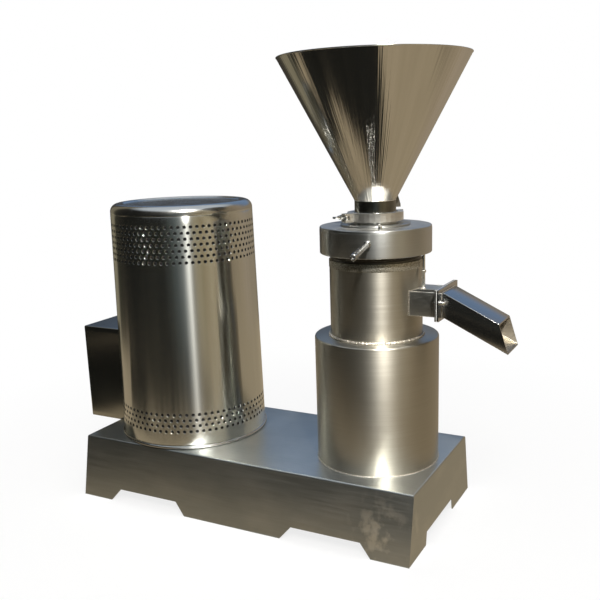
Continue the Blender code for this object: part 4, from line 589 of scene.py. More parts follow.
def round_noise(tree, axis_x, around, up, detail=3.0):
    """Noise in streaks that run down a turned piece, whatever its radius."""
    place = position(tree)
    level = vectors(tree, "MULTIPLY", vectors(tree, "SUBTRACT", place, (axis_x, 0, 0)), (1, 1, 0))
    height = vectors(tree, "MULTIPLY", place, (0, 0, up))
    ring = vectors(tree, "NORMALIZE", level)
    return noise(tree, vectors(tree, "MULTIPLY_ADD", ring, (around, around, around), height), detail)


def spread(tree, value, low, high, start=0.3, end=0.7):
    """Maps a value from between start and end to between low and high."""
    limits = {"From Min": start, "From Max": end, "To Min": low, "To Max": high}
    return add_node(tree, "MapRange", {"Value": value, **limits}).outputs["Result"]


def mixed(tree, share, first, second):
    """Mixes two colours, or a colour and an output, by a share."""
    sockets = {"Factor": share, "A": first, "B": second}
    return add_node(tree, "Mix", sockets, data_type="RGBA").outputs["Result"]


def varied(tree, shader, value, dark, light, roughness):
    """Lets a value take the shader's colour and roughness from one limit to the other."""
    colour = mixed(tree, value, (*dark, 1), (*light, 1))
    tree.links.new(colour, shader.inputs["Base Color"])
    tree.links.new(spread(tree, value, *roughness), shader.inputs["Roughness"])


def grained(tree, shader, value, strength, depth):
    """Raises the surface by a value."""
    bump = add_node(tree, "Bump", {"Strength": strength, "Distance": depth, "Height": value})
    tree.links.new(bump.outputs["Normal"], shader.inputs["Normal"])


def drawn_out(tree, shader, share, direction):
    """Draws the highlights out along a direction, across the lines that polishing left."""
    along = add_node(tree, "CombineXYZ", dict(enumerate(direction)))
    shader.inputs["Anisotropic"].default_value = share
    tree.links.new(along.outputs["Vector"], shader.inputs["Tangent"])


def brushed_steel(name, dark, light, roughness, scale, lines=0.0, stretch=0.0, direction=(0, 0, 1)):
    """Steel with a drawn grain: its colour and gloss vary along the grain."""
    material, tree, shader = plain_finish(name, light, roughness[1], 1.0)
    varied(tree, shader, stretched_noise(tree, scale), dark, light, roughness)
    if lines:
        fine = stretched_noise(tree, tuple(part * 3 for part in scale), 1.0)
        grained(tree, shader, fine, lines, 0.0002)
    if stretch:
        drawn_out(tree, shader, stretch, direction)
    return material


def turned_steel(name, axis_x, dark, light, roughness, streaks, waves, stretch):
    """Polished sheet of a turned piece, with streaks from top to foot."""
    around, up = streaks
    material, tree, shader = plain_finish(name, light, roughness[1], 1.0)
    varied(tree, shader, round_noise(tree, axis_x, around, up), dark, light, roughness)
    if waves:
        grained(tree, shader, round_noise(tree, axis_x, around * 3, up * 0.5, 2.0), waves, 0.0010)
    drawn_out(tree, shader, stretch, (0, 0, 1))
    return material


def painted_reflection_and_mottle(material, spot, light):
    """Lightens a steel in ragged patches round a spot, a painted reflection, and mottles the rest."""
    middle, reach = spot
    tree = material.node_tree
    colour = tree.nodes["Principled BSDF"].inputs["Base Color"]
    away = vectors(tree, "DISTANCE", position(tree), middle, result="Value")
    near = spread(tree, away, 1.0, 0.0, reach * 0.2, reach)
    patches = spread(tree, stretched_noise(tree, (34, 34, 26), 4.0), 0.0, 1.0, 0.46, 0.62)
    mottle = spread(tree, stretched_noise(tree, (6, 6, 12), 4.0), 0.0, 0.22, 0.45, 0.7)
    share = maths(tree, "MAXIMUM", maths(tree, "MULTIPLY", near, patches), mottle)
    tree.links.new(mixed(tree, share, colour.links[0].from_socket, (*light, 1)), colour)


def weld_steel(name, dark, light, scale):
    """A weld bead: rippled, bright on its crests and stained between them."""
    material, tree, shader = plain_finish(name, light, 0.35, 1.0)
    cells = add_node(tree, "TexVoronoi", {"Vector": position(tree), "Scale": scale})
    value = spread(tree, cells.outputs["Distance"], 1.0, 0.0, 0.1, 0.7)
    varied(tree, shader, value, dark, light, (0.5, 0.25, 0.0, 1.0))
    grained(tree, shader, value, 0.8, 0.0006)
    return material


def painted_iron(name, dark, light):
    material, tree, shader = plain_finish(name, light, 0.5, 0.0)
    varied(tree, shader, stretched_noise(tree, (60, 60, 60), 4.0), dark, light, (0.45, 0.65))
    grained(tree, shader, stretched_noise(tree, (420, 420, 420), 2.0), 0.25, 0.0004)
    return material


def moulded(name, colour, roughness):
    """Rubber or plastic with a fine skin."""
    material, tree, shader = plain_finish(name, colour, roughness, 0.0)
    dark = tuple(part * 0.86 for part in colour)
    limits = (roughness * 0.9, roughness * 1.1)
    varied(tree, shader, stretched_noise(tree, (90, 90, 90)), dark, colour, limits)
    grained(tree, shader, stretched_noise(tree, (900, 900, 900), 1.0), 0.12, 0.0002)
    return material


FINISHES = {}

# Name, darkest and lightest colour, roughness, grain, depth of lines, stretch, its direction
BRUSHED_STEELS = {
    "cover_lid": ("mirror_steel_lid", (0.43, 0.43, 0.41), (0.51, 0.51, 0.49), (0.16, 0.22), (30, 30, 30)),
    # Dark steel painted where shade falls: in the crease at the drum's foot, on the neck under the ring and
    # on the gusset's shaded side
    "greased_steel": (
        "greased_steel", (0.10, 0.095, 0.085), (0.18, 0.17, 0.15), (0.35, 0.5), (60, 60, 400), 0.05,
    ),
    "clamp_steel": (
        "clamp_steel", (0.50, 0.49, 0.46), (0.62, 0.61, 0.58), (0.30, 0.38), (40, 40, 500), 0.15,
    ),
    "body": (
        "satin_steel_body", (0.35, 0.33, 0.28), (0.43, 0.41, 0.36), (0.35, 0.39), (7, 7, 620), 0.04, 0.75,
    ),
    "ring": (
        "satin_steel_ring", (0.40, 0.405, 0.39), (0.49, 0.495, 0.48), (0.29, 0.34), (9, 9, 900), 0.05, 0.75,
    ),
    "satin_steel": (
        "satin_steel", (0.42, 0.41, 0.38), (0.50, 0.50, 0.47), (0.28, 0.36), (40, 40, 300), 0.03, 0.3,
        (0, 1, 1),
    ),
    "handle_steel": (
        "handle_steel", (0.34, 0.34, 0.33), (0.46, 0.46, 0.45), (0.20, 0.30), (120, 120, 500), 0.03,
    ),
    # Dark steel for the outside of the neck tube: painted shade
    "neck_steel": (
        "shaded_neck_steel", (0.13, 0.13, 0.115), (0.19, 0.19, 0.17), (0.18, 0.24), (60, 60, 60),
    ),
    "ring_top": (
        "satin_steel_ring_top", (0.32, 0.32, 0.31), (0.40, 0.40, 0.39), (0.38, 0.44), (80, 80, 80), 0.03,
    ),
    "duct_steel": ("satin_steel_duct", (0.38, 0.38, 0.37), (0.44, 0.44, 0.43), (0.17, 0.20), (6, 6, 6)),
    "box_steel": ("satin_steel_box", (0.34, 0.34, 0.31), (0.40, 0.40, 0.37), (0.14, 0.17), (6, 6, 12)),
    # Inside walls of the chute: tan steel that paints in the light and the reflected lit ground seen through
    # its mouth
    "chute_inside": (
        "chute_inside_steel", (0.40, 0.36, 0.29), (0.48, 0.43, 0.35), (0.42, 0.5), (40, 40, 300), 0.03,
    ),
    # Floor inside the chute: dark steel, painted shade
    "chute_floor": (
        "chute_floor_steel", (0.14, 0.13, 0.11), (0.19, 0.18, 0.15), (0.36, 0.44), (40, 40, 300), 0.03,
    ),
    "tray_steel": (
        "tray_steel", (0.36, 0.38, 0.375), (0.47, 0.49, 0.485), (0.30, 0.36), (9, 260, 260), 0.05, 0.6,
        (0, 1, 1),
    ),
    "bright_steel": (
        "bright_steel", (0.68, 0.68, 0.66), (0.78, 0.78, 0.76), (0.16, 0.26), (120, 120, 500), 0.03,
    ),
    "tool_steel": (
        "tool_steel", (0.52, 0.52, 0.52), (0.63, 0.63, 0.62), (0.22, 0.32), (60, 60, 400), 0.04,
    ),
}

# Name, colour and roughness
MOULDED = (
    ("black_rubber", (0.030, 0.030, 0.030), 0.72),
    ("white_rubber", (0.74, 0.73, 0.69), 0.58),
    ("black_plastic", (0.040, 0.040, 0.044), 0.42),
    ("red_plastic", (0.60, 0.030, 0.022), 0.30),
    ("green_plastic", (0.020, 0.36, 0.080), 0.30),
)


def make_finishes():
    FINISHES["cover"] = turned_steel(
        "mirror_steel_cover", MOTOR_X, (0.55, 0.56, 0.53), (0.63, 0.64, 0.61), (0.155, 0.168),
        (16, 2.0), 0.0, 1.0,
    )
    FINISHES["hopper"] = turned_steel(
        "mirror_steel_hopper", MILL_X, (0.54, 0.53, 0.48), (0.70, 0.69, 0.65), (0.09, 0.13),
        (9, 4.0), 0.8, 0.5,
    )
    for key, look in BRUSHED_STEELS.items():
        FINISHES[key] = brushed_steel(*look)
    # Bright patches round a spot on the tray: painted reflection
    painted_reflection_and_mottle(FINISHES["tray_steel"], REFLECTION_SPOT, REFLECTION_COLOUR)
    FINISHES["weld"] = weld_steel("weld_steel", (0.34, 0.31, 0.26), (0.80, 0.78, 0.74), 330.0)
    FINISHES["stippled"] = weld_steel("stippled_steel", (0.26, 0.25, 0.21), (0.62, 0.60, 0.54), 290.0)
    FINISHES["cast_iron"] = painted_iron("cast_iron", (0.075, 0.13, 0.19), (0.11, 0.19, 0.27))
    for look in MOULDED:
        FINISHES[look[0]] = moulded(*look)


def finish_nodes():
    """Gives every CAD node the procedural finish of its own slot."""
    for name, node in NODES.items():
        for slot in node.material_slots:
            finish = slot.material.name.split(".")[0]
            if name.startswith("clamp_half"):
                finish = "clamp_steel"
            elif finish == "mirror_steel":
                finish = "cover"
            slot.material = FINISHES[finish]


# Pieces

def make_tray():
    """The folded base tray on its six feet."""
    low, high = BASE_LOW, BASE_HIGH
    lean = (high.y - BASE_TOP_HALF) / high.z

    def half_at(height):
        return BASE_TOP_HALF + lean * (high.z - height)

    side = [(low.x, 0.0)]
    for left in (low.x + SIDE_FOOT_LENGTH, high.x - SIDE_FOOT_LENGTH - SIDE_NOTCH_LENGTH):
        right = left + SIDE_NOTCH_LENGTH
        side += [
            (left, 0.0), (left + NOTCH_SLANT, NOTCH_HEIGHT),
            (right - NOTCH_SLANT, NOTCH_HEIGHT), (right, 0.0),
        ]
    side.append((high.x, 0.0))
    front_end = low.y + END_FOOT_FRONT
    back_end = high.y - END_FOOT_BACK
    end = [
        (front_end, 0.0), (front_end + END_NOTCH_SLANT, NOTCH_HEIGHT),
        (back_end - END_NOTCH_SLANT, NOTCH_HEIGHT), (back_end, 0.0),
    ]
    shape = bmesh.new()
    front = [shape.verts.new((x, -half_at(z), z)) for x, z in side]
    back = [shape.verts.new((x, half_at(z), z)) for x, z in side]
    left_line = [shape.verts.new((low.x, y, z)) for y, z in end]
    right_line = [shape.verts.new((high.x, y, z)) for y, z in end]
    top = [
        shape.verts.new((x, y, high.z)) for x, y in (
            (low.x, -BASE_TOP_HALF), (high.x, -BASE_TOP_HALF),
            (high.x, BASE_TOP_HALF), (low.x, BASE_TOP_HALF),
        )
    ]
    shape.faces.new(front + [top[1], top[0]])
    shape.faces.new(back + [top[2], top[3]])
    shape.faces.new([front[0], *left_line, back[0], top[3], top[0]])
    shape.faces.new([front[-1], *right_line, back[-1], top[2], top[1]])
    shape.faces.new(top)
    bmesh.ops.recalc_face_normals(shape, faces=shape.faces)
    folds = [edge for edge in shape.edges if all(vert in top for vert in edge.verts)]
    rounded(shape, folds, BASE_FOLD, 5)
    lid = max(shape.faces, key=lambda face: face.calc_center_median().z * 10 + face.calc_area())
    outline = list(lid.edges)
    bmesh.ops.delete(shape, geom=[lid], context="FACES_ONLY")
    for x, radius in ((MOTOR_X, SHAFT_HOLE), (MILL_X, HOUSING_HOLE)):
        outline += hole_rim(shape, radius, 40, Matrix.Translation((x, 0, high.z)))
    bmesh.ops.triangle_fill(shape, use_beauty=True, use_dissolve=False, edges=outline)
    shelled(shape, BASE_SHEET)
    dress("folded_tray", shape, "tray_steel", "base_frame")


def cover_radius(height):
    share = (height - COVER_WALL_FOOT) / (COVER_TOP - COVER_SHOULDER - COVER_WALL_FOOT)
    return COVER_FOOT_RADIUS + (COVER_TOP_RADIUS - COVER_FOOT_RADIUS) * share


def perforated_band(low, high, rows, hole_radius):
    """A stretch of the cover's wall with staggered rows of round holes."""
    pitch = (high - low) / (rows - 1)
    foot = low - pitch / 2
    shape = bmesh.new()
    bmesh.ops.create_grid(shape, x_segments=COVER_COLUMNS, y_segments=2 * rows, size=0.5)
    centres = []
    for vert in shape.verts:
        column = round((vert.co.x + 0.5) * COVER_COLUMNS)
        level = round((vert.co.y + 0.5) * 2 * rows)
        angle = FULL_TURN * column / COVER_COLUMNS
        height = foot + level * pitch / 2
        radius = cover_radius(height)
        if level % 2 and (column + level // 2) % 2 == 0:
            centres.append(vert)
        vert.co = (radius * math.cos(angle), radius * math.sin(angle), height)
    spots = [vert.co.copy() for vert in centres]
    bmesh.ops.remove_doubles(shape, verts=shape.verts, dist=MERGE)
    marks = {tuple(round(part * 1e5) for part in spot) for spot in spots}
    centres = [vert for vert in shape.verts if tuple(round(part * 1e5) for part in vert.co) in marks]
    for centre in centres:
        for face in list(centre.link_faces):
            far = max(face.verts, key=lambda vert: (vert.co - centre.co).length)
            bmesh.utils.face_split(face, centre, far)
    made = bmesh.ops.bevel(
        shape, geom=centres, offset=hole_radius, offset_type="OFFSET", segments=1,
        profile=0.5, affect="VERTICES", material=-1,
    )
    holes = [face for face in made["faces"] if len(face.verts) == 8]
    shape.normal_update()
    middle = holes[0].calc_center_median()
    inwards = -1 if holes[0].normal.dot(Vector((middle.x, middle.y, 0))) > 0 else 1
    bmesh.ops.inset_individual(
        shape, faces=holes, thickness=HOLE_DISH, depth=inwards * HOLE_DISH, use_even_offset=True,
    )
    bmesh.ops.delete(shape, geom=holes, context="FACES_ONLY")
    return shape


def band_limits(low, high, rows):
    pitch = (high - low) / (rows - 1)
    return low - pitch / 2, high + pitch / 2


def make_cover(hole_radius):
    """The drum over the motor, perforated in two bands, with its beaded foot and sunk top."""
    foot_low, foot_high = band_limits(*FOOT_BAND)
    top_low, top_high = band_limits(*TOP_BAND)
    shoulder = COVER_TOP - COVER_SHOULDER
    middle = (COVER_TOP_RADIUS - COVER_SHOULDER, shoulder)
    seam = 0.0004
    foot = [(COVER_FOOT_RADIUS - 0.002, COVER_FOOT)]
    foot += arc((COVER_FOOT_RADIUS, COVER_FOOT + COVER_BEAD), COVER_BEAD, -math.pi / 2, math.pi / 2, 12)
    foot += [(cover_radius(COVER_WALL_FOOT + 0.0012) - seam, COVER_WALL_FOOT + 0.0012)]
    foot += [(cover_radius(z), z) for z in (COVER_WALL_FOOT + 0.004, foot_low)]
    wall = [(cover_radius(z), z) for z in (foot_high, 0.40, 0.55, top_low)]
    top = [(cover_radius(z), z) for z in (top_high, shoulder - 0.0050)]
    top += [
        (cover_radius(shoulder) - seam * 1.5, shoulder - 0.0042), (cover_radius(shoulder), shoulder - 0.0034),
    ]
    top += arc(middle, COVER_SHOULDER, 0, math.pi / 2, 10)
    top += arc((COVER_RIM + 0.001, COVER_TOP - 0.002), 0.002, math.pi / 2, math.pi * 0.8, 3)
    top += [
        (COVER_PANEL + 0.0008, COVER_TOP - COVER_PANEL_DEPTH + 0.0006),
        (COVER_PANEL - 0.0008, COVER_TOP - COVER_PANEL_DEPTH),
        (COVER_PANEL - 0.020, COVER_TOP - COVER_PANEL_DEPTH),
        (0.06, COVER_TOP - COVER_PANEL_DEPTH),
        (0, COVER_TOP - COVER_PANEL_DEPTH),
    ]
    parts = [spun(profile(points), COVER_COLUMNS) for points in (foot, wall, top)]
    parts += [perforated_band(*FOOT_BAND, hole_radius), perforated_band(*TOP_BAND, hole_radius)]
    shape = joined(*parts)
    bmesh.ops.remove_doubles(shape, verts=shape.verts, dist=1e-5)
    bmesh.ops.translate(shape, verts=shape.verts, vec=MOTOR_AXIS)
    shelled(shape, COVER_SHEET)
    drum = dress("perforated_cover", shape, "cover", "motor_cover", sharp=COVER_SHARP)

    # The lowest faces of the foot bead take the dark steel: painted shade in the crease on the tray
    def place_on_cover(face):
        if face.center.z < COVER_FOOT + 0.0022:
            return 2
        return int(face.center.z > shoulder + 0.001 or face.center.z < COVER_WALL_FOOT)

    refinish(drum, ("cover_lid", "greased_steel"), place_on_cover)
    for name, low, high in (("foot", foot_low, foot_high), ("top", top_low, top_high)):
        inner, outer = cover_radius(high) - 0.013, cover_radius(high) - 0.007
        under, over = low - FILTER_LAP, high + FILTER_LAP
        ring = turned(
            [(inner, under), (outer, under, 0.001), (outer, over, 0.001), (inner, over)],
            MEDIUM_STEPS, MOTOR_AXIS,
        )
        dress(f"{name}_dust_filter", ring, "black_rubber", "motor_cover", stands_for=False)


def make_switch_box():
    """The folded box on the cover's side, with its back plate."""
    low, high = BOX_LOW, BOX_HIGH
    half = high.y
    shape = rounded_loop(low.x, half, low.z, high.z, BOX_CORNER, 4, 24, 0.05)
    grown = bmesh.ops.extrude_edge_only(shape, edges=list(shape.edges))
    for vert in new_verts(grown):
        radius = cover_radius(max(vert.co.z, COVER_WALL_FOOT)) + GAP * 2
        if vert.co.z < COVER_WALL_FOOT + 0.001:
            radius += COVER_BEAD
        vert.co.x = MOTOR_X - math.sqrt(max(radius * radius - vert.co.y ** 2, 0.0))
    bmesh.ops.recalc_face_normals(shape, faces=shape.faces)
    shelled(shape, BOX_WALL)
    dress("switch_box_body", shape, "box_steel", "control_box")
    rear = slab(
        (MOTOR_X - BOX_REAR, -half + BOX_WALL, low.z + BOX_WALL),
        (MOTOR_X - BOX_REAR + BOX_WALL, half - BOX_WALL, high.z - BOX_WALL), 0.0004,
    )
    dress("switch_box_back", rear, "satin_steel", "control_box", stands_for=False)


def make_box_lid():
    """The box's lid with its two button holes and four screws."""
    half, low, high = BOX_HIGH.y, BOX_LOW.z, BOX_HIGH.z
    lid = rounded_loop(LID_LEFT, half, low, high, BOX_CORNER, 4)
    holes = [along_x(LID_LEFT, 0, z) for z in (START_Z, STOP_Z)]
    pierced(lid, holes, BUTTON_HOLE, 40, -1, LID_SHEET)
    dress("switch_box_lid", lid, "box_steel", "box_lid")
    screws = [
        pan_head(*LID_SCREW_HEAD, along_x(LID_LEFT, y, z, -1))
        for y in (-half + 0.012, half - 0.012) for z in (low + 0.014, high - 0.014)
    ]
    dress("lid_screws", joined(*screws), "bright_steel", "box_lid", stands_for=False)


def make_buttons():
    """The start and stop buttons in their rings."""
    for name, z, finish in (("start", START_Z, "green_plastic"), ("stop", STOP_Z, "red_plastic")):
        place = along_x(LID_LEFT, 0, z, -1)
        bezel = turned(
            [
                (BEZEL_BORE, -BEZEL_DEPTH), (BEZEL_BARREL, -BEZEL_DEPTH), (BEZEL_BARREL, GAP),
                (BEZEL_RADIUS, GAP, 0.0004), (BEZEL_RADIUS, 0.0034, 0.0012),
                (0.0128, BEZEL_HEIGHT, 0.0006), (0.0112, BEZEL_HEIGHT, 0.0005), (BEZEL_BORE, 0.0050),
            ],
            MEDIUM_STEPS, matrix=place,
        )
        dress(f"{name}_ring", bezel, "bright_steel", f"{name}_bezel")
        face = BEZEL_HEIGHT + BUTTON_RISES[name]
        root = face - CAP_LENGTH
        cap = turned(
            [
                (0, root), (CAP_RADIUS, root), (CAP_RADIUS, face, 0.0010), (0.0070, face),
                (0, face - 0.0004),
            ],
            MEDIUM_STEPS, matrix=place,
        )
        dress(f"{name}_cap_face", cap, finish, f"{name}_button")


def make_gland():
    """The cable gland with its hexagon, under the box."""
    x, y = middle_of("cable_gland").xy
    seat = BOX_LOW.z - GAP
    gland = joined(
        turned(
            [
                (GLAND_BORE, seat - 0.020), (GLAND_BARREL, seat - 0.020, 0.0012),
                (GLAND_DOME, seat - 0.0105, 0.001), (GLAND_DOME, seat - 0.008),
                (GLAND_BARREL, seat - 0.008), (GLAND_BARREL, seat + 0.010), (GLAND_BORE, seat + 0.010),
            ],
            SMALL_STEPS, (x, y, 0),
        ),
        hexagon(0.0110, seat - 0.0078, seat, x, y),
    )
    dress("gland_nut", gland, "black_plastic", "cable_gland")


def hexagon(radius, low, high, x=0.0, y=0.0):
    """A hexagon with its corners chamfered at both ends."""
    angles = [FULL_TURN * side / 6 for side in range(6)]
    points = [(x + radius * math.cos(angle), y + radius * math.sin(angle), low) for angle in angles]
    return plate(points, (0, 0, high - low), 0.0006)


def pan_head(radius, height, matrix):
    """A screw head with a round socket."""
    return turned(
        [
            (0, 0), (radius, 0), (radius, height, height * 0.45), (radius * 0.52, height, 0.0002),
            (radius * 0.48, height * 0.35), (0, height * 0.3),
        ],
        SMALL_STEPS, matrix=matrix,
    )


def make_mill_body():
    """The round lower body, with a rolled top edge and a weld round its foot."""
    wall = BODY_RADIUS - BODY_WALL
    shape = turned(
        [
            (wall, BODY_FOOT), (BODY_RADIUS, BODY_FOOT, 0.0008), (BODY_RADIUS, BODY_TOP, 0.0045),
            (BODY_HOLE, BODY_TOP), (BODY_HOLE, BODY_TOP - BODY_PLATE), (wall, BODY_TOP - BODY_PLATE, 0.001),
        ],
        LARGE_STEPS, MILL_AXIS,
    )
    dress("lower_body", shape, "body", "mill_body")
    foot = round_bead(MILL_X, BODY_RADIUS + 0.0002, BODY_FOOT + 0.0004, 240, 0.0014, 8, 0.16)
    dress("body_foot_weld", foot, "weld", "mill_body", stands_for=False)


def make_chamber():
    """The grinding chamber with its outlet window, threaded neck and top band."""
    inner = CHAMBER_RADIUS - CHAMBER_WALL
    band_low, band_high = CHAMBER_BAND
    bore = NECK_RADIUS - NECK_WALL
    under = CHAMBER_FLOOR - 0.006
    section = [
        (inner, CHAMBER_FOOT), (CHAMBER_RADIUS + 0.004, CHAMBER_FOOT), (CHAMBER_RADIUS, CHAMBER_FOOT + 0.004),
        (CHAMBER_RADIUS, WINDOW_LOW), (CHAMBER_RADIUS, WINDOW_HIGH), (CHAMBER_RADIUS, band_low),
        (CHAMBER_RADIUS, band_high), (NECK_RADIUS, band_high),
    ]
    section += thread(NECK_RADIUS, THREAD_DEPTH, 0.0022, band_high + 0.002, NECK_TOP - 0.003, THREAD_TURNS)
    section += [
        (NECK_RADIUS, NECK_TOP - 0.002), (NECK_RADIUS - 0.001, NECK_TOP), (bore, NECK_TOP), (bore, band_low),
        (inner, band_low - 0.006), (inner, WINDOW_HIGH), (inner, WINDOW_LOW), (inner, CHAMBER_FLOOR),
        (SEAL_HOLE, CHAMBER_FLOOR), (SEAL_HOLE, under), (inner, under),
    ]
    shape = turned(section, LARGE_STEPS)
    opened = []
    for face in shape.faces:
        middle = face.calc_center_median()
        on_wall = math.hypot(middle.x, middle.y) > inner - 0.003
        if on_wall and middle.x > 0 and abs(middle.y) < WINDOW_HALF and WINDOW_LOW < middle.z < WINDOW_HIGH:
            opened.append(face)
    bmesh.ops.delete(shape, geom=opened, context="FACES")
    rims = [edge for edge in shape.edges if edge.is_boundary]
    bmesh.ops.bridge_loops(shape, edges=rims)
    bmesh.ops.translate(shape, verts=shape.verts, vec=MILL_AXIS)
    shell = dress("chamber_shell", shape, "body", "grinding_chamber")
    # The threaded neck under the ring takes the dark steel: painted shade under the ring
    refinish(shell, ("greased_steel",), lambda face: int(face.center.z > band_high + 0.0005))

    collar = turned(
        [
            (CHAMBER_RADIUS - 0.001, COLLAR_FOOT), (CHAMBER_RADIUS + 0.0008, COLLAR_FOOT, 0.0004),
            (CHAMBER_RADIUS + 0.0008, band_high, 0.0006), (CHAMBER_RADIUS - 0.001, band_high),
        ],
        LARGE_STEPS, MILL_AXIS,
    )
    dress("chamber_top_band", collar, "stippled", "grinding_chamber", stands_for=False)
    foot = round_bead(MILL_X, CHAMBER_RADIUS + 0.0020, CHAMBER_FOOT + 0.0020, 240, 0.0030, 8, 0.22)
    dress("chamber_foot_weld", foot, "weld", "grinding_chamber", stands_for=False)


def make_adjusting_ring():
    """The heavy threaded ring with a polished top, scribed line and two handles."""
    bore = NECK_RADIUS + 0.0005
    plate_foot = RING_TOP - RING_PLATE
    shape = turned(
        [
            (bore, RING_FOOT, 0.0008), (RING_RADIUS, RING_FOOT, 0.0018), (RING_RADIUS, RING_TOP - 0.0070),
            (RING_RADIUS - 0.0004, RING_TOP - 0.0068), (RING_RADIUS - 0.0004, RING_TOP, 0.0030),
            (RING_HOLE, RING_TOP, 0.0008), (RING_HOLE, plate_foot), (bore, plate_foot),
        ],
        LARGE_STEPS, MILL_AXIS,
    )
    shell = dress("ring_shell", shape, "ring", "adjusting_ring")
    refinish(shell, ("ring_top",), lambda face: int(face.center.z > RING_TOP - 0.0005))
    for name, angle in (("front", HANDLE_ANGLE), ("back", HANDLE_ANGLE + math.pi)):
        collar = RING_RADIUS + GAP
        tip = RING_RADIUS + HANDLE_REACH
        root = RING_RADIUS - HANDLE_ROOT
        bar = turned(
            [
                (0, root), (0.0050, root), (0.0050, collar),
                (0.0085, collar, 0.0008), (0.0085, collar + 0.010, 0.0012), (0.0060, collar + 0.0105, 0.0004),
                (0.0065, collar + 0.030), (0.0075, tip - 0.030), (0.0075, tip, 0.0026),
                (0.0028, tip, 0.0005), (0.0024, tip - 0.0022), (0, tip - 0.0030),
            ],
            MEDIUM_STEPS, (MILL_X, 0, HANDLE_Z),
            Matrix.Rotation(angle, 4, "Z") @ Matrix.Rotation(math.pi / 2, 4, "Y"),
        )
        dress(f"{name}_handle_bar", bar, "handle_steel", f"handle_{name}")
    low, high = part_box("ring_lock_screw")
    x, y = middle_of("ring_lock_screw").xy
    head_low = RING_TOP + GAP
    screw = joined(
        rod(SCREW_SHANK, low.z, head_low, (x, y, 0)),
        turned(
            [
                (0, head_low), (LOCK_SCREW_HEAD, head_low, 0.0003), (LOCK_SCREW_HEAD, high.z, 0.0009),
                (0.0026, high.z, 0.0002), (0.0024, high.z - 0.0035), (0, high.z - 0.0040),
            ],
            SMALL_STEPS, (x, y, 0),
        ),
    )
    dress("lock_screw_head", screw, "bright_steel", "ring_lock_screw")


def make_neck():
    """The feed neck that stands out of the ring, with its ferrule, cap ring and screws."""
    guide = NECK_RADIUS - NECK_WALL - GAP
    top = RING_TOP - RING_PLATE - GAP
    hub = RING_TOP + GAP
    rim = FERRULE_JOINT - FERRULE_RIM
    shape = turned(
        [
            (HOLDER_BORE, HOLDER_FOOT), (HOLDER_RADIUS, HOLDER_FOOT, 0.0008), (HOLDER_RADIUS, top - 0.020),
            (guide, top - 0.020, 0.001), (guide, top, 0.001), (HUB_RADIUS, top), (HUB_RADIUS, hub, 0.0006),
            (TUBE_RADIUS, hub, 0.0010),
            (TUBE_RADIUS, rim - FERRULE_SLOPE, 0.0008), (FERRULE_RADIUS, rim, 0.0005),
            (FERRULE_RADIUS, FERRULE_JOINT, 0.0005), (THROAT_RADIUS, FERRULE_JOINT, 0.0005),
            (THROAT_RADIUS, STATOR_SEAT), (HOLDER_BORE, STATOR_SEAT),
        ],
        LARGE_STEPS, MILL_AXIS,
    )
    dress("feed_neck", shape, "ring", "stator_holder")
    low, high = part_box("cap_ring")
    cap = turned(
        [
            (TUBE_RADIUS + GAP * 2, low.z), (CAP_RING_RADIUS, low.z, 0.0004),
            (CAP_RING_RADIUS, high.z, 0.0010), (TUBE_RADIUS + GAP * 2, high.z, 0.0006),
        ],
        LARGE_STEPS, MILL_AXIS,
    )
    dress("cap_ring_face", cap, "ring", "cap_ring")
    for number in (1, 2, 3):
        node = f"cap_screw_{number}"
        low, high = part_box(node)
        x, y = middle_of(node).xy
        head_low = high.z - CAP_SCREW_HEAD[1]
        screw = joined(
            rod(SCREW_SHANK, low.z, head_low, (x, y, 0)),
            pan_head(*CAP_SCREW_HEAD, Matrix.Translation((x, y, head_low))),
        )
        dress(f"cap_screw_head_{number}", screw, "bright_steel", node)


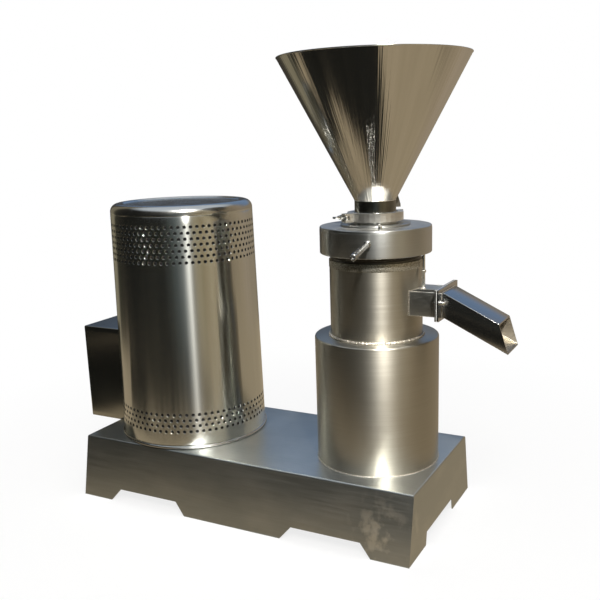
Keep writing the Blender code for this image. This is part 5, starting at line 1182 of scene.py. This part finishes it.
def make_hopper():
    """The polished conical hopper with its neck, ferrule, rim bead and gusset."""
    rim_top = UPPER_FERRULE + FERRULE_RIM
    slope_top = rim_top + FERRULE_SLOPE
    lean = math.atan2(HOPPER_RADIUS - HOPPER_NECK, HOPPER_TOP - HOPPER_FOOT)
    across = HOPPER_SHEET / math.cos(lean)
    throat = HOPPER_NECK - HOPPER_SHEET
    shape = turned(
        [
            (THROAT_RADIUS, UPPER_FERRULE, 0.0004), (FERRULE_RADIUS, UPPER_FERRULE, 0.0005),
            (FERRULE_RADIUS, rim_top, 0.0008), (TUBE_RADIUS, slope_top, 0.0008),
            (HOPPER_NECK, slope_top + FERRULE_SLOPE, 0.0006), (HOPPER_NECK, HOPPER_FOOT, 0.0012),
            (HOPPER_RADIUS - 0.0002, HOPPER_TOP - 0.0030),
            (HOPPER_RADIUS + 0.0013, HOPPER_TOP - 0.0022, 0.0005),
            (HOPPER_RADIUS + 0.0013, HOPPER_TOP, 0.0009),
            (HOPPER_RADIUS - across - 0.0005, HOPPER_TOP, 0.0009),
            (HOPPER_RADIUS - across - 0.0010, HOPPER_TOP - 0.0030, 0.0004),
            (throat, HOPPER_FOOT + across / 2, 0.001), (throat, slope_top),
        ],
        LARGE_STEPS, MILL_AXIS,
    )
    cone_shell = dress("polished_hopper", shape, "hopper", "hopper")

    # The outside of the neck tube takes a dark steel: painted shade
    def on_neck(face):
        outside = face.normal.x * (face.center.x - MILL_X) > 0
        return int(outside and slope_top + FERRULE_SLOPE < face.center.z < HOPPER_FOOT - 0.001)

    refinish(cone_shell, ("neck_steel",), on_neck)
    root = HOPPER_NECK - 0.001
    cone = HOPPER_NECK + 0.012 * math.tan(lean)
    edge = HOPPER_NECK + 0.014
    gusset = plate(
        [
            (x, -GUSSET_SHEET / 2, HOPPER_FOOT + rise) for x, rise in (
                (root, -0.020), (edge, -0.020), (edge, -0.0133), (cone, 0.012), (root, 0),
            )
        ],
        (0, GUSSET_SHEET, 0), 0.0004, 1,
    )
    place = Matrix.Translation(MILL_AXIS) @ Matrix.Rotation(GUSSET_ANGLE, 4, "Z")
    bmesh.ops.transform(gusset, matrix=place, verts=gusset.verts)
    # The gusset takes the dark steel: painted shade on its shaded side
    dress("neck_gusset", gusset, "greased_steel", "hopper", stands_for=False)
    seam = round_bead(MILL_X, HOPPER_NECK + 0.0001, HOPPER_FOOT - 0.0002, 200, 0.0007, 6, 0.15)
    dress("hopper_neck_weld", seam, "weld", "hopper", stands_for=False)


def square_loop(x, inset, rounding, cuts=0):
    """The duct's rounded square outline at one X, moved in by a distance."""
    low, high = DUCT_LOW + inset, DUCT_HIGH - inset
    return rounded_loop(x, DUCT_HALF - inset, low, high, rounding, 3, cuts, 0.08)


def two_walls(outer, inner):
    """Joins an outer and an inner tube, made the same way, with a rim at both ends."""
    count = len(outer.verts)
    shape = joined(outer, inner)
    shape.verts.index_update()
    shape.verts.ensure_lookup_table()
    for edge in [edge for edge in shape.edges if edge.is_boundary]:
        first, second = edge.verts
        if max(first.index, second.index) < count:
            inner_pair = shape.verts[second.index + count], shape.verts[first.index + count]
            shape.faces.new((first, second, *inner_pair))
    return shape


def duct_wall(inset):
    shape = square_loop(DUCT_FLANGE_X + 0.001, inset, 0.0018, 15)
    grown = bmesh.ops.extrude_edge_only(shape, edges=list(shape.edges))
    reach = CHAMBER_RADIUS + GAP
    for vert in new_verts(grown):
        vert.co.x = MILL_X + math.sqrt(reach * reach - vert.co.y ** 2)
    return shape


def chute_wall(inset):
    shape = square_loop(CHUTE_FLANGE_X + 0.001, inset, 0.0016)
    grown = bmesh.ops.extrude_edge_only(shape, edges=list(shape.edges))
    for vert in new_verts(grown):
        vert.co.x = CHUTE_STUB_X
    mouth = [item for item in grown["geom"] if isinstance(item, bmesh.types.BMEdge)]
    grown = bmesh.ops.extrude_edge_only(shape, edges=mouth)
    for vert in new_verts(grown):
        share = (vert.co.z - DUCT_LOW) / (DUCT_HIGH - DUCT_LOW)
        x = CHUTE_FOOT_X + (CHUTE_TOP_X - CHUTE_FOOT_X) * share
        vert.co = (x, vert.co.y, vert.co.z - CHUTE_SLOPE * (x - CHUTE_STUB_X))
    return shape


def flange_weld(x, radius):
    """A weld round the duct's outline at one X."""
    path = [(x, y, z) for y, z in loop_round(DUCT_HALF, DUCT_LOW, DUCT_HIGH, 16)]
    return bead(path, radius, 6, 0.2)


def make_outlet():
    """The duct and the sloping chute, folded from sheet, with their flanges and weld lines."""
    duct = two_walls(duct_wall(0), duct_wall(DUCT_WALL))
    dress("folded_duct", joined(duct, flange(DUCT_FLANGE_X)), "satin_steel", "outlet_duct")
    away = CHAMBER_RADIUS + 0.0008
    around = [
        (MILL_X + math.sqrt(away ** 2 - y ** 2), y, z)
        for y, z in loop_round(DUCT_HALF + 0.0004, DUCT_LOW - 0.0004, DUCT_HIGH + 0.0004, 16)
    ]
    welds = joined(bead(around, 0.0016, 6, 0.2), flange_weld(DUCT_FLANGE_X - 0.0002, 0.0012))
    dress("duct_welds", welds, "weld", "outlet_duct", stands_for=False)

    chute = two_walls(chute_wall(0), chute_wall(CHUTE_WALL))
    tube = dress("folded_chute", joined(chute, flange(CHUTE_FLANGE_X)), "duct_steel", "chute")

    # Inside the chute the walls take a tan steel, painted light and reflection, and the floor a dark one,
    # painted shade
    def place_in_chute(face):
        middle = face.center
        drop = CHUTE_SLOPE * max(middle.x - CHUTE_STUB_X, 0)
        low, high = DUCT_LOW - drop + CHUTE_WALL / 2, DUCT_HIGH - drop - CHUTE_WALL / 2
        inside = abs(middle.y) < DUCT_HALF - CHUTE_WALL / 2 and low < middle.z < high
        if middle.x <= CHUTE_STUB_X or not inside:
            return 0
        return 2 if middle.z < low + CHUTE_WALL else 1

    refinish(tube, ("chute_inside", "chute_floor"), place_in_chute)
    weld = flange_weld(CHUTE_TUBE_X + 0.0002, 0.0011)
    dress("chute_weld", weld, "weld", "chute", stands_for=False)
    for name, y in (("front", -BOLT_Y), ("back", BOLT_Y)):
        make_outlet_bolt(name, y)


def loop_round(half, low, high, steps):
    """Points round a rectangle in Y and Z."""
    corners = rectangle(half, low, high)
    points = []
    for start, end in zip(corners, corners[1:] + corners[:1]):
        for step in range(steps):
            share = step / steps
            points.append((start[0] + (end[0] - start[0]) * share, start[1] + (end[1] - start[1]) * share))
    return points


def flange(x):
    """A flange plate across X, with the duct's opening and two bolt holes."""
    shape = rounded_loop(x, FLANGE_HALF, FLANGE_LOW, FLANGE_HIGH, 0.0025)
    inner = [shape.verts.new((x, y, z)) for y, z in rectangle(WINDOW_HALF, WINDOW_LOW, WINDOW_HIGH)]
    for pair in zip(inner, inner[1:] + inner[:1]):
        shape.edges.new(pair)
    holes = [along_x(x, y, BOLT_Z) for y in (-BOLT_Y, BOLT_Y)]
    return pierced(shape, holes, BOLT_HOLE, 20, 1, FLANGE_THICK)


def wing_nut(radius, thread_radius, length, span, thickness, matrix):
    """A wing nut on its face at the origin, with its thread along Z."""
    hub = turned(
        [
            (thread_radius, 0), (radius, 0, 0.0004), (radius * 0.86, length * 0.75, 0.0006),
            (radius * 0.74, length, 0.0006), (thread_radius, length),
        ],
        SMALL_STEPS,
    )
    parts = [hub]
    inner = (radius + thread_radius) / 2
    soft = span * 0.12
    for side in (-1, 1):
        outline = [
            (side * away, -thickness / 2, length * share) for away, share in (
                (inner, 0.2), (span * 0.85, 0.45), (span, 0.8), (span, 1.3), (span * 0.8, 1.4), (inner, 0.9),
            )
        ]
        parts.append(plate(outline, (0, thickness, 0), thickness * 0.3, 2, [0, soft, soft, soft, soft, 0]))
    nut = joined(*parts)
    bmesh.ops.transform(nut, matrix=matrix, verts=nut.verts)
    return nut


def make_outlet_bolt(name, y):
    """One bolt through both flanges, and its wing nut."""
    head = DUCT_FLANGE_X - GAP
    place = along_x(head, y, BOLT_Z)
    grip = CHUTE_TUBE_X - head
    tail = grip + BOLT_TAIL
    section = [(0, -0.001), (BOLT_RADIUS, -0.001), (BOLT_RADIUS, grip + 0.001)]
    section += thread(BOLT_RADIUS, BOLT_THREAD, 0.0005, grip + 0.001, tail - 0.0008, 12)
    section += [(0.0028, tail - 0.0006), (0.0022, tail), (0, tail)]
    shank = turned(section, SMALL_STEPS, matrix=place)
    hex_head = hexagon(BOLT_HEAD_RADIUS, -BOLT_HEAD_HEIGHT, 0)
    bmesh.ops.transform(hex_head, matrix=place, verts=hex_head.verts)
    bolt = joined(shank, hex_head)
    dress(f"{name}_outlet_bolt", bolt, "bright_steel", f"outlet_bolt_{name}")
    nut = wing_nut(*OUTLET_WING_NUT, along_x(CHUTE_TUBE_X + GAP, y, BOLT_Z))
    dress(f"{name}_outlet_wing_nut", nut, "bright_steel", f"outlet_nut_{name}")


def make_post():
    """The index post on the duct, with its collar and thin side rod."""
    foot = DUCT_HIGH + GAP
    top = RING_FOOT - 0.0012
    low, high = POST_COLLAR
    post = turned(
        [
            (0, foot), (POST_RADIUS, foot), (POST_RADIUS, low), (POST_COLLAR_RADIUS, low, 0.0006),
            (POST_COLLAR_RADIUS, high, 0.0006), (POST_RADIUS, high), (POST_RADIUS, top, 0.0008), (0, top),
        ],
        SMALL_STEPS, (POST_X, 0, 0),
    )
    side_rod = turned(
        [(0, foot), (SIDE_ROD_RADIUS, foot), (SIDE_ROD_RADIUS, high, 0.0005), (0, high)],
        SMALL_STEPS, (POST_X, SIDE_ROD_Y, 0),
    )
    arm = slab(
        (POST_X - SIDE_ROD_RADIUS, SIDE_ROD_Y, low + 0.0015),
        (POST_X + SIDE_ROD_RADIUS, -0.003, high - 0.0015), 0.0005,
    )
    foot_weld = round_bead(POST_X, 0.0038, foot + 0.0002, 24, 0.0009, 6, 0.2)
    dress("index_post_rod", joined(post, side_rod, arm), "bright_steel", "index_post")
    dress("index_post_weld", foot_weld, "weld", "index_post", stands_for=False)


def on_clamp(y):
    """A place on the clamp's ears, with X along them and Y across."""
    turn = Matrix.Rotation(CLAMP_ANGLE, 4, "Z")
    return Matrix.Translation(MILL_AXIS) @ turn @ Matrix.Translation((CLAMP_EAR, y, CLAMP_MIDDLE))


def make_clamp_fittings():
    """The clamp's swing bolt with its eye, and the wing nut."""
    turn = Matrix.Rotation(math.pi / 2, 4, "X")
    eye = turned(
        [(0.0028, -0.00425), (0.0060, -0.00425, 0.0008), (0.0060, 0.00425, 0.0008), (0.0028, 0.00425)],
        SMALL_STEPS,
    )
    shank = turned(
        [(0, 0.0043), (0.0035, 0.0043), (0.0035, 0.040, 0.0008), (0, 0.040)], SMALL_STEPS, matrix=turn
    )
    bolt = joined(eye, shank)
    bmesh.ops.transform(bolt, matrix=on_clamp(0.0062), verts=bolt.verts)
    dress("swing_bolt_shank", bolt, "bright_steel", "clamp_bolt")
    nut = wing_nut(*CLAMP_WING_NUT, on_clamp(-0.0110) @ turn)
    dress("clamp_nut_wings", nut, "bright_steel", "clamp_wing_nut")


# Studio

def emission_card(name, shape, colour):
    """A studio card that only polished metal shows, in a colour or one that a function works out."""
    material = bpy.data.materials.new(name)
    material.use_nodes = True
    tree = material.node_tree
    tree.nodes.clear()
    glow = add_node(tree, "Emission", {"Color": colour(tree) if callable(colour) else (*colour, 1)})
    add_node(tree, "OutputMaterial", {"Surface": glow.outputs["Emission"]})
    card = placed(name, shape, material)
    for rays in ("camera", "diffuse", "transmission", "volume_scatter", "shadow"):
        setattr(card, f"visible_{rays}", False)


def patch(points):
    """A flat patch of ground from its outline."""
    shape = bmesh.new()
    shape.faces.new([shape.verts.new((x, y, PATCH_HEIGHT)) for x, y in points])
    return shape


def background_light(tree, plain, white):
    """White where camera, mirror or glass rays look, and the plain light level elsewhere."""
    rays = add_node(tree, "LightPath", {}).outputs
    looking = maths(tree, "MAXIMUM", rays["Is Camera Ray"], rays["Is Glossy Ray"])
    looking = maths(tree, "MAXIMUM", looking, rays["Is Transmission Ray"])
    return spread(tree, looking, plain, white, 0.0, 1.0)


def make_world(level):
    world = bpy.data.worlds.new("studio")
    bpy.context.scene.world = world
    world.use_nodes = True
    tree = world.node_tree
    background = tree.nodes["Background"]
    background.inputs["Color"].default_value = WHITE
    tree.links.new(background_light(tree, level, 1.0), background.inputs["Strength"])


def make_floor():
    """A pale floor that goes white with the background and keeps the machine's shadow."""
    shape = bmesh.new()
    bmesh.ops.create_grid(shape, x_segments=1, y_segments=1, size=FLOOR_SIZE)
    bmesh.ops.translate(shape, verts=shape.verts, vec=(0, 0, -0.0002))
    material = bpy.data.materials.new("floor")
    material.use_nodes = True
    tree = material.node_tree
    tree.nodes.clear()
    matt = add_node(tree, "BsdfDiffuse", {"Color": FLOOR_COLOUR})
    glow = add_node(tree, "Emission", {"Color": WHITE})
    away = vectors(tree, "LENGTH", position(tree), result="Value")
    fade = spread(tree, away, FLOOR_SEEN, 1.0, *FLOOR_FADE)
    seen = maths(tree, "MULTIPLY", background_light(tree, 0.0, 1.0), fade)
    shaders = {"Fac": seen, 1: matt.outputs["BSDF"], 2: glow.outputs["Emission"]}
    mix = add_node(tree, "MixShader", shaders)
    add_node(tree, "OutputMaterial", {"Surface": mix.outputs["Shader"]})
    placed("floor", shape, material)


def make_cards():
    """The yard that the steel shows: tan ground, dark patches in front, and sky above."""
    near = bmesh.new()
    bmesh.ops.create_circle(near, cap_ends=True, radius=NEAR_GROUND, segments=64)
    bmesh.ops.translate(near, verts=near.verts, vec=(0, 0, GROUND_HEIGHT))
    emission_card("near_ground_card", near, NEAR_COLOUR)
    emission_card("dark_ground_card", patch(DARK_GROUND), DARK_COLOUR)
    emission_card("dark_strip_card", patch(DARK_STRIP), STRIP_COLOUR)
    ground = spun(profile([(NEAR_GROUND, GROUND_HEIGHT), (FAR, GROUND_HEIGHT)]), 64)
    emission_card("far_ground_card", ground, yard_colour)
    dome = spun(profile(arc((0, 0), FAR, 0.0, math.pi / 2, 16)), 64)
    emission_card("sky_card", dome, sky_colour)


def bearing_and_height(tree):
    """Where a point lies round the machine, in radians, and how high."""
    parts = add_node(tree, "SeparateXYZ", {"Vector": position(tree)}).outputs
    return maths(tree, "ARCTAN2", parts["Y"], parts["X"]), parts["Z"]


def yard_colour(tree):
    """The yard's colour in each direction round the machine."""
    bearing, _ = bearing_and_height(tree)
    ramp = add_node(tree, "ValToRGB", {"Fac": spread(tree, bearing, 0.0, 1.0, -math.pi, math.pi)})
    elements = ramp.color_ramp.elements
    for number, (degrees, colour) in enumerate(YARD_COLOURS):
        spot = (degrees + 180) / 360
        if number == 0:
            element = elements[0]
        elif number == len(YARD_COLOURS) - 1:
            element = elements[len(elements) - 1]
        else:
            element = elements.new(spot)
        element.position = spot
        element.color = (*colour, 1)
    return ramp.outputs["Color"]


def sky_colour(tree):
    """The yard low down and in front, and a hazy sky high at the back."""
    bearing, height = bearing_and_height(tree)
    sides = [
        spread(tree, bearing, 0.0, 1.0, math.radians(start), math.radians(end)) for start, end in SKY_SIDES
    ]
    rise = spread(tree, height, 0.0, 1.0, *SKY_HEIGHTS)
    share = maths(tree, "MULTIPLY", rise, maths(tree, "MULTIPLY", *sides))
    low_sky = mixed(tree, share, yard_colour(tree), (*SKY_COLOUR, 1))
    overhead = spread(tree, height, 0.0, 1.0, *HIGH_SKY_HEIGHTS)
    return mixed(tree, overhead, low_sky, (*HIGH_SKY_COLOUR, 1))


def make_lamp(name, bearing, away, height, size, power, colour, on_steel):
    """A lamp for paint, rubber and floor, or one that only the steel's polish picks up."""
    lamp = bpy.data.lights.new(name, "AREA")
    lamp.shape = "DISK"
    lamp.size = size
    lamp.energy = power
    lamp.color = colour
    obj = bpy.data.objects.new(name, lamp)
    obj.location = (away * math.cos(bearing), away * math.sin(bearing), height)
    obj.rotation_euler = (Vector(LAMP_AIM) - obj.location).to_track_quat("-Z", "Y").to_euler()
    bpy.context.scene.collection.objects.link(obj)
    obj.visible_glossy = on_steel
    obj.visible_diffuse = not on_steel


def make_camera():
    """The photograph's viewpoint."""
    flat = math.cos(CAMERA_PITCH)
    forward = Vector((-math.sin(CAMERA_YAW) * flat, math.cos(CAMERA_YAW) * flat, -math.sin(CAMERA_PITCH)))
    right = forward.cross(Vector((0, 0, 1))).normalized()
    up = right.cross(forward)
    rolled_right = right * math.cos(CAMERA_ROLL) + up * math.sin(CAMERA_ROLL)
    rolled_up = up * math.cos(CAMERA_ROLL) - right * math.sin(CAMERA_ROLL)
    data = bpy.data.cameras.new("photo_camera")
    data.lens = CAMERA_LENS
    data.sensor_width = CAMERA_SENSOR
    data.shift_x, data.shift_y = CAMERA_SHIFT
    camera = bpy.data.objects.new("photo_camera", data)
    turn = Matrix((rolled_right, rolled_up, -forward)).transposed().to_4x4()
    camera.matrix_world = Matrix.Translation(CAMERA_PLACE) @ turn
    bpy.context.scene.collection.objects.link(camera)
    bpy.context.scene.camera = camera


# Settings, operators and panel

class MillCoverSettings(bpy.types.PropertyGroup):
    hole_radius: bpy.props.FloatProperty(
        name="Hole radius", description="Radius of each hole in the cover's two perforated bands",
        default=0.0048, min=0.0015, max=0.005, unit="LENGTH",
    )


class MillStageSettings(bpy.types.PropertyGroup):
    level: bpy.props.FloatProperty(
        name="Light level", description="Strength of the plain light from all round",
        default=0.75, min=0.0, max=3.0,
    )
    lamp_power: bpy.props.FloatProperty(
        name="Lamp power", description="Power of the soft main lamp",
        default=90.0, min=0.0, max=1000.0, unit="POWER",
    )
    steel_power: bpy.props.FloatProperty(
        name="Steel lamp power", description="Power of the small lamp that only the steel's polish picks up",
        default=3000.0, min=0.0, max=9000.0, unit="POWER",
    )
    lamp_colour: bpy.props.FloatVectorProperty(
        name="Lamp colour", description="Colour of both lamps",
        default=(1.0, 0.97, 0.92), subtype="COLOR",
    )


class MILL_OT_finishes(bpy.types.Operator):
    """Makes the finishes and gives each CAD node its own"""
    bl_idname = "mill.finishes"
    bl_label = "Finishes"

    def execute(self, context):
        make_finishes()
        finish_nodes()
        return {"FINISHED"}


class MILL_OT_tray(bpy.types.Operator):
    """Makes the folded base tray"""
    bl_idname = "mill.tray"
    bl_label = "Base tray"

    def execute(self, context):
        make_tray()
        return {"FINISHED"}


class MILL_OT_cover(bpy.types.Operator):
    """Makes the perforated motor cover"""
    bl_idname = "mill.cover"
    bl_label = "Motor cover"

    def execute(self, context):
        make_cover(context.scene.mill_cover.hole_radius)
        return {"FINISHED"}


class MILL_OT_switch_box(bpy.types.Operator):
    """Makes the switch box with its lid, buttons and gland"""
    bl_idname = "mill.switch_box"
    bl_label = "Switch box"

    def execute(self, context):
        make_switch_box()
        make_box_lid()
        make_buttons()
        make_gland()
        return {"FINISHED"}


class MILL_OT_body(bpy.types.Operator):
    """Makes the lower body and the grinding chamber"""
    bl_idname = "mill.body"
    bl_label = "Body and chamber"

    def execute(self, context):
        make_mill_body()
        make_chamber()
        return {"FINISHED"}


class MILL_OT_ring(bpy.types.Operator):
    """Makes the adjusting ring, its handles and the feed neck"""
    bl_idname = "mill.ring"
    bl_label = "Ring and neck"

    def execute(self, context):
        make_adjusting_ring()
        make_neck()
        return {"FINISHED"}


class MILL_OT_hopper(bpy.types.Operator):
    """Makes the hopper and the fittings of its clamp"""
    bl_idname = "mill.hopper"
    bl_label = "Hopper and clamp"

    def execute(self, context):
        make_hopper()
        make_clamp_fittings()
        return {"FINISHED"}


class MILL_OT_outlet(bpy.types.Operator):
    """Makes the outlet duct, chute, bolts and index post"""
    bl_idname = "mill.outlet"
    bl_label = "Outlet"

    def execute(self, context):
        make_outlet()
        make_post()
        return {"FINISHED"}


class MILL_OT_stage(bpy.types.Operator):
    """Makes the floor, light, reflected surroundings and camera"""
    bl_idname = "mill.stage"
    bl_label = "Studio"

    def execute(self, context):
        settings = context.scene.mill_stage
        context.scene.view_settings.view_transform = "Standard"
        make_world(settings.level)
        make_floor()
        make_cards()
        flat = STEEL_LAMP_AWAY * math.cos(STEEL_LAMP_RISE)
        height = STEEL_LAMP_AWAY * math.sin(STEEL_LAMP_RISE)
        make_lamp(
            "main_lamp", MAIN_LAMP_BEARING, MAIN_LAMP_AWAY, MAIN_LAMP_HEIGHT, MAIN_LAMP_SIZE,
            settings.lamp_power, settings.lamp_colour, on_steel=False,
        )
        make_lamp(
            "steel_lamp", STEEL_LAMP_BEARING, flat, height, STEEL_LAMP_SIZE,
            settings.steel_power, settings.lamp_colour, on_steel=True,
        )
        make_camera()
        return {"FINISHED"}


OPERATORS = (
    MILL_OT_finishes, MILL_OT_tray, MILL_OT_cover, MILL_OT_switch_box, MILL_OT_body, MILL_OT_ring,
    MILL_OT_hopper, MILL_OT_outlet, MILL_OT_stage,
)


class MILL_PT_panel(bpy.types.Panel):
    bl_idname = "MILL_PT_panel"
    bl_label = "Nut butter mill"
    bl_space_type = "VIEW_3D"
    bl_region_type = "UI"
    bl_category = "Mill"

    def draw(self, context):
        scene = context.scene
        self.layout.prop(scene.mill_cover, "hole_radius")
        for key in ("level", "lamp_power", "steel_power", "lamp_colour"):
            self.layout.prop(scene.mill_stage, key)
        for operator in OPERATORS:
            self.layout.operator(operator.bl_idname)


CLASSES = (MillCoverSettings, MillStageSettings, *OPERATORS, MILL_PT_panel)


def register():
    for item in CLASSES:
        bpy.utils.register_class(item)
    bpy.types.Scene.mill_cover = bpy.props.PointerProperty(type=MillCoverSettings)
    bpy.types.Scene.mill_stage = bpy.props.PointerProperty(type=MillStageSettings)


def unregister():
    del bpy.types.Scene.mill_stage
    del bpy.types.Scene.mill_cover
    for item in reversed(CLASSES):
        bpy.utils.unregister_class(item)


def main():
    register()
    for operator in OPERATORS:
        group, name = operator.bl_idname.split(".")
        getattr(getattr(bpy.ops, group), name)()


if __name__ == "__main__":
    main()
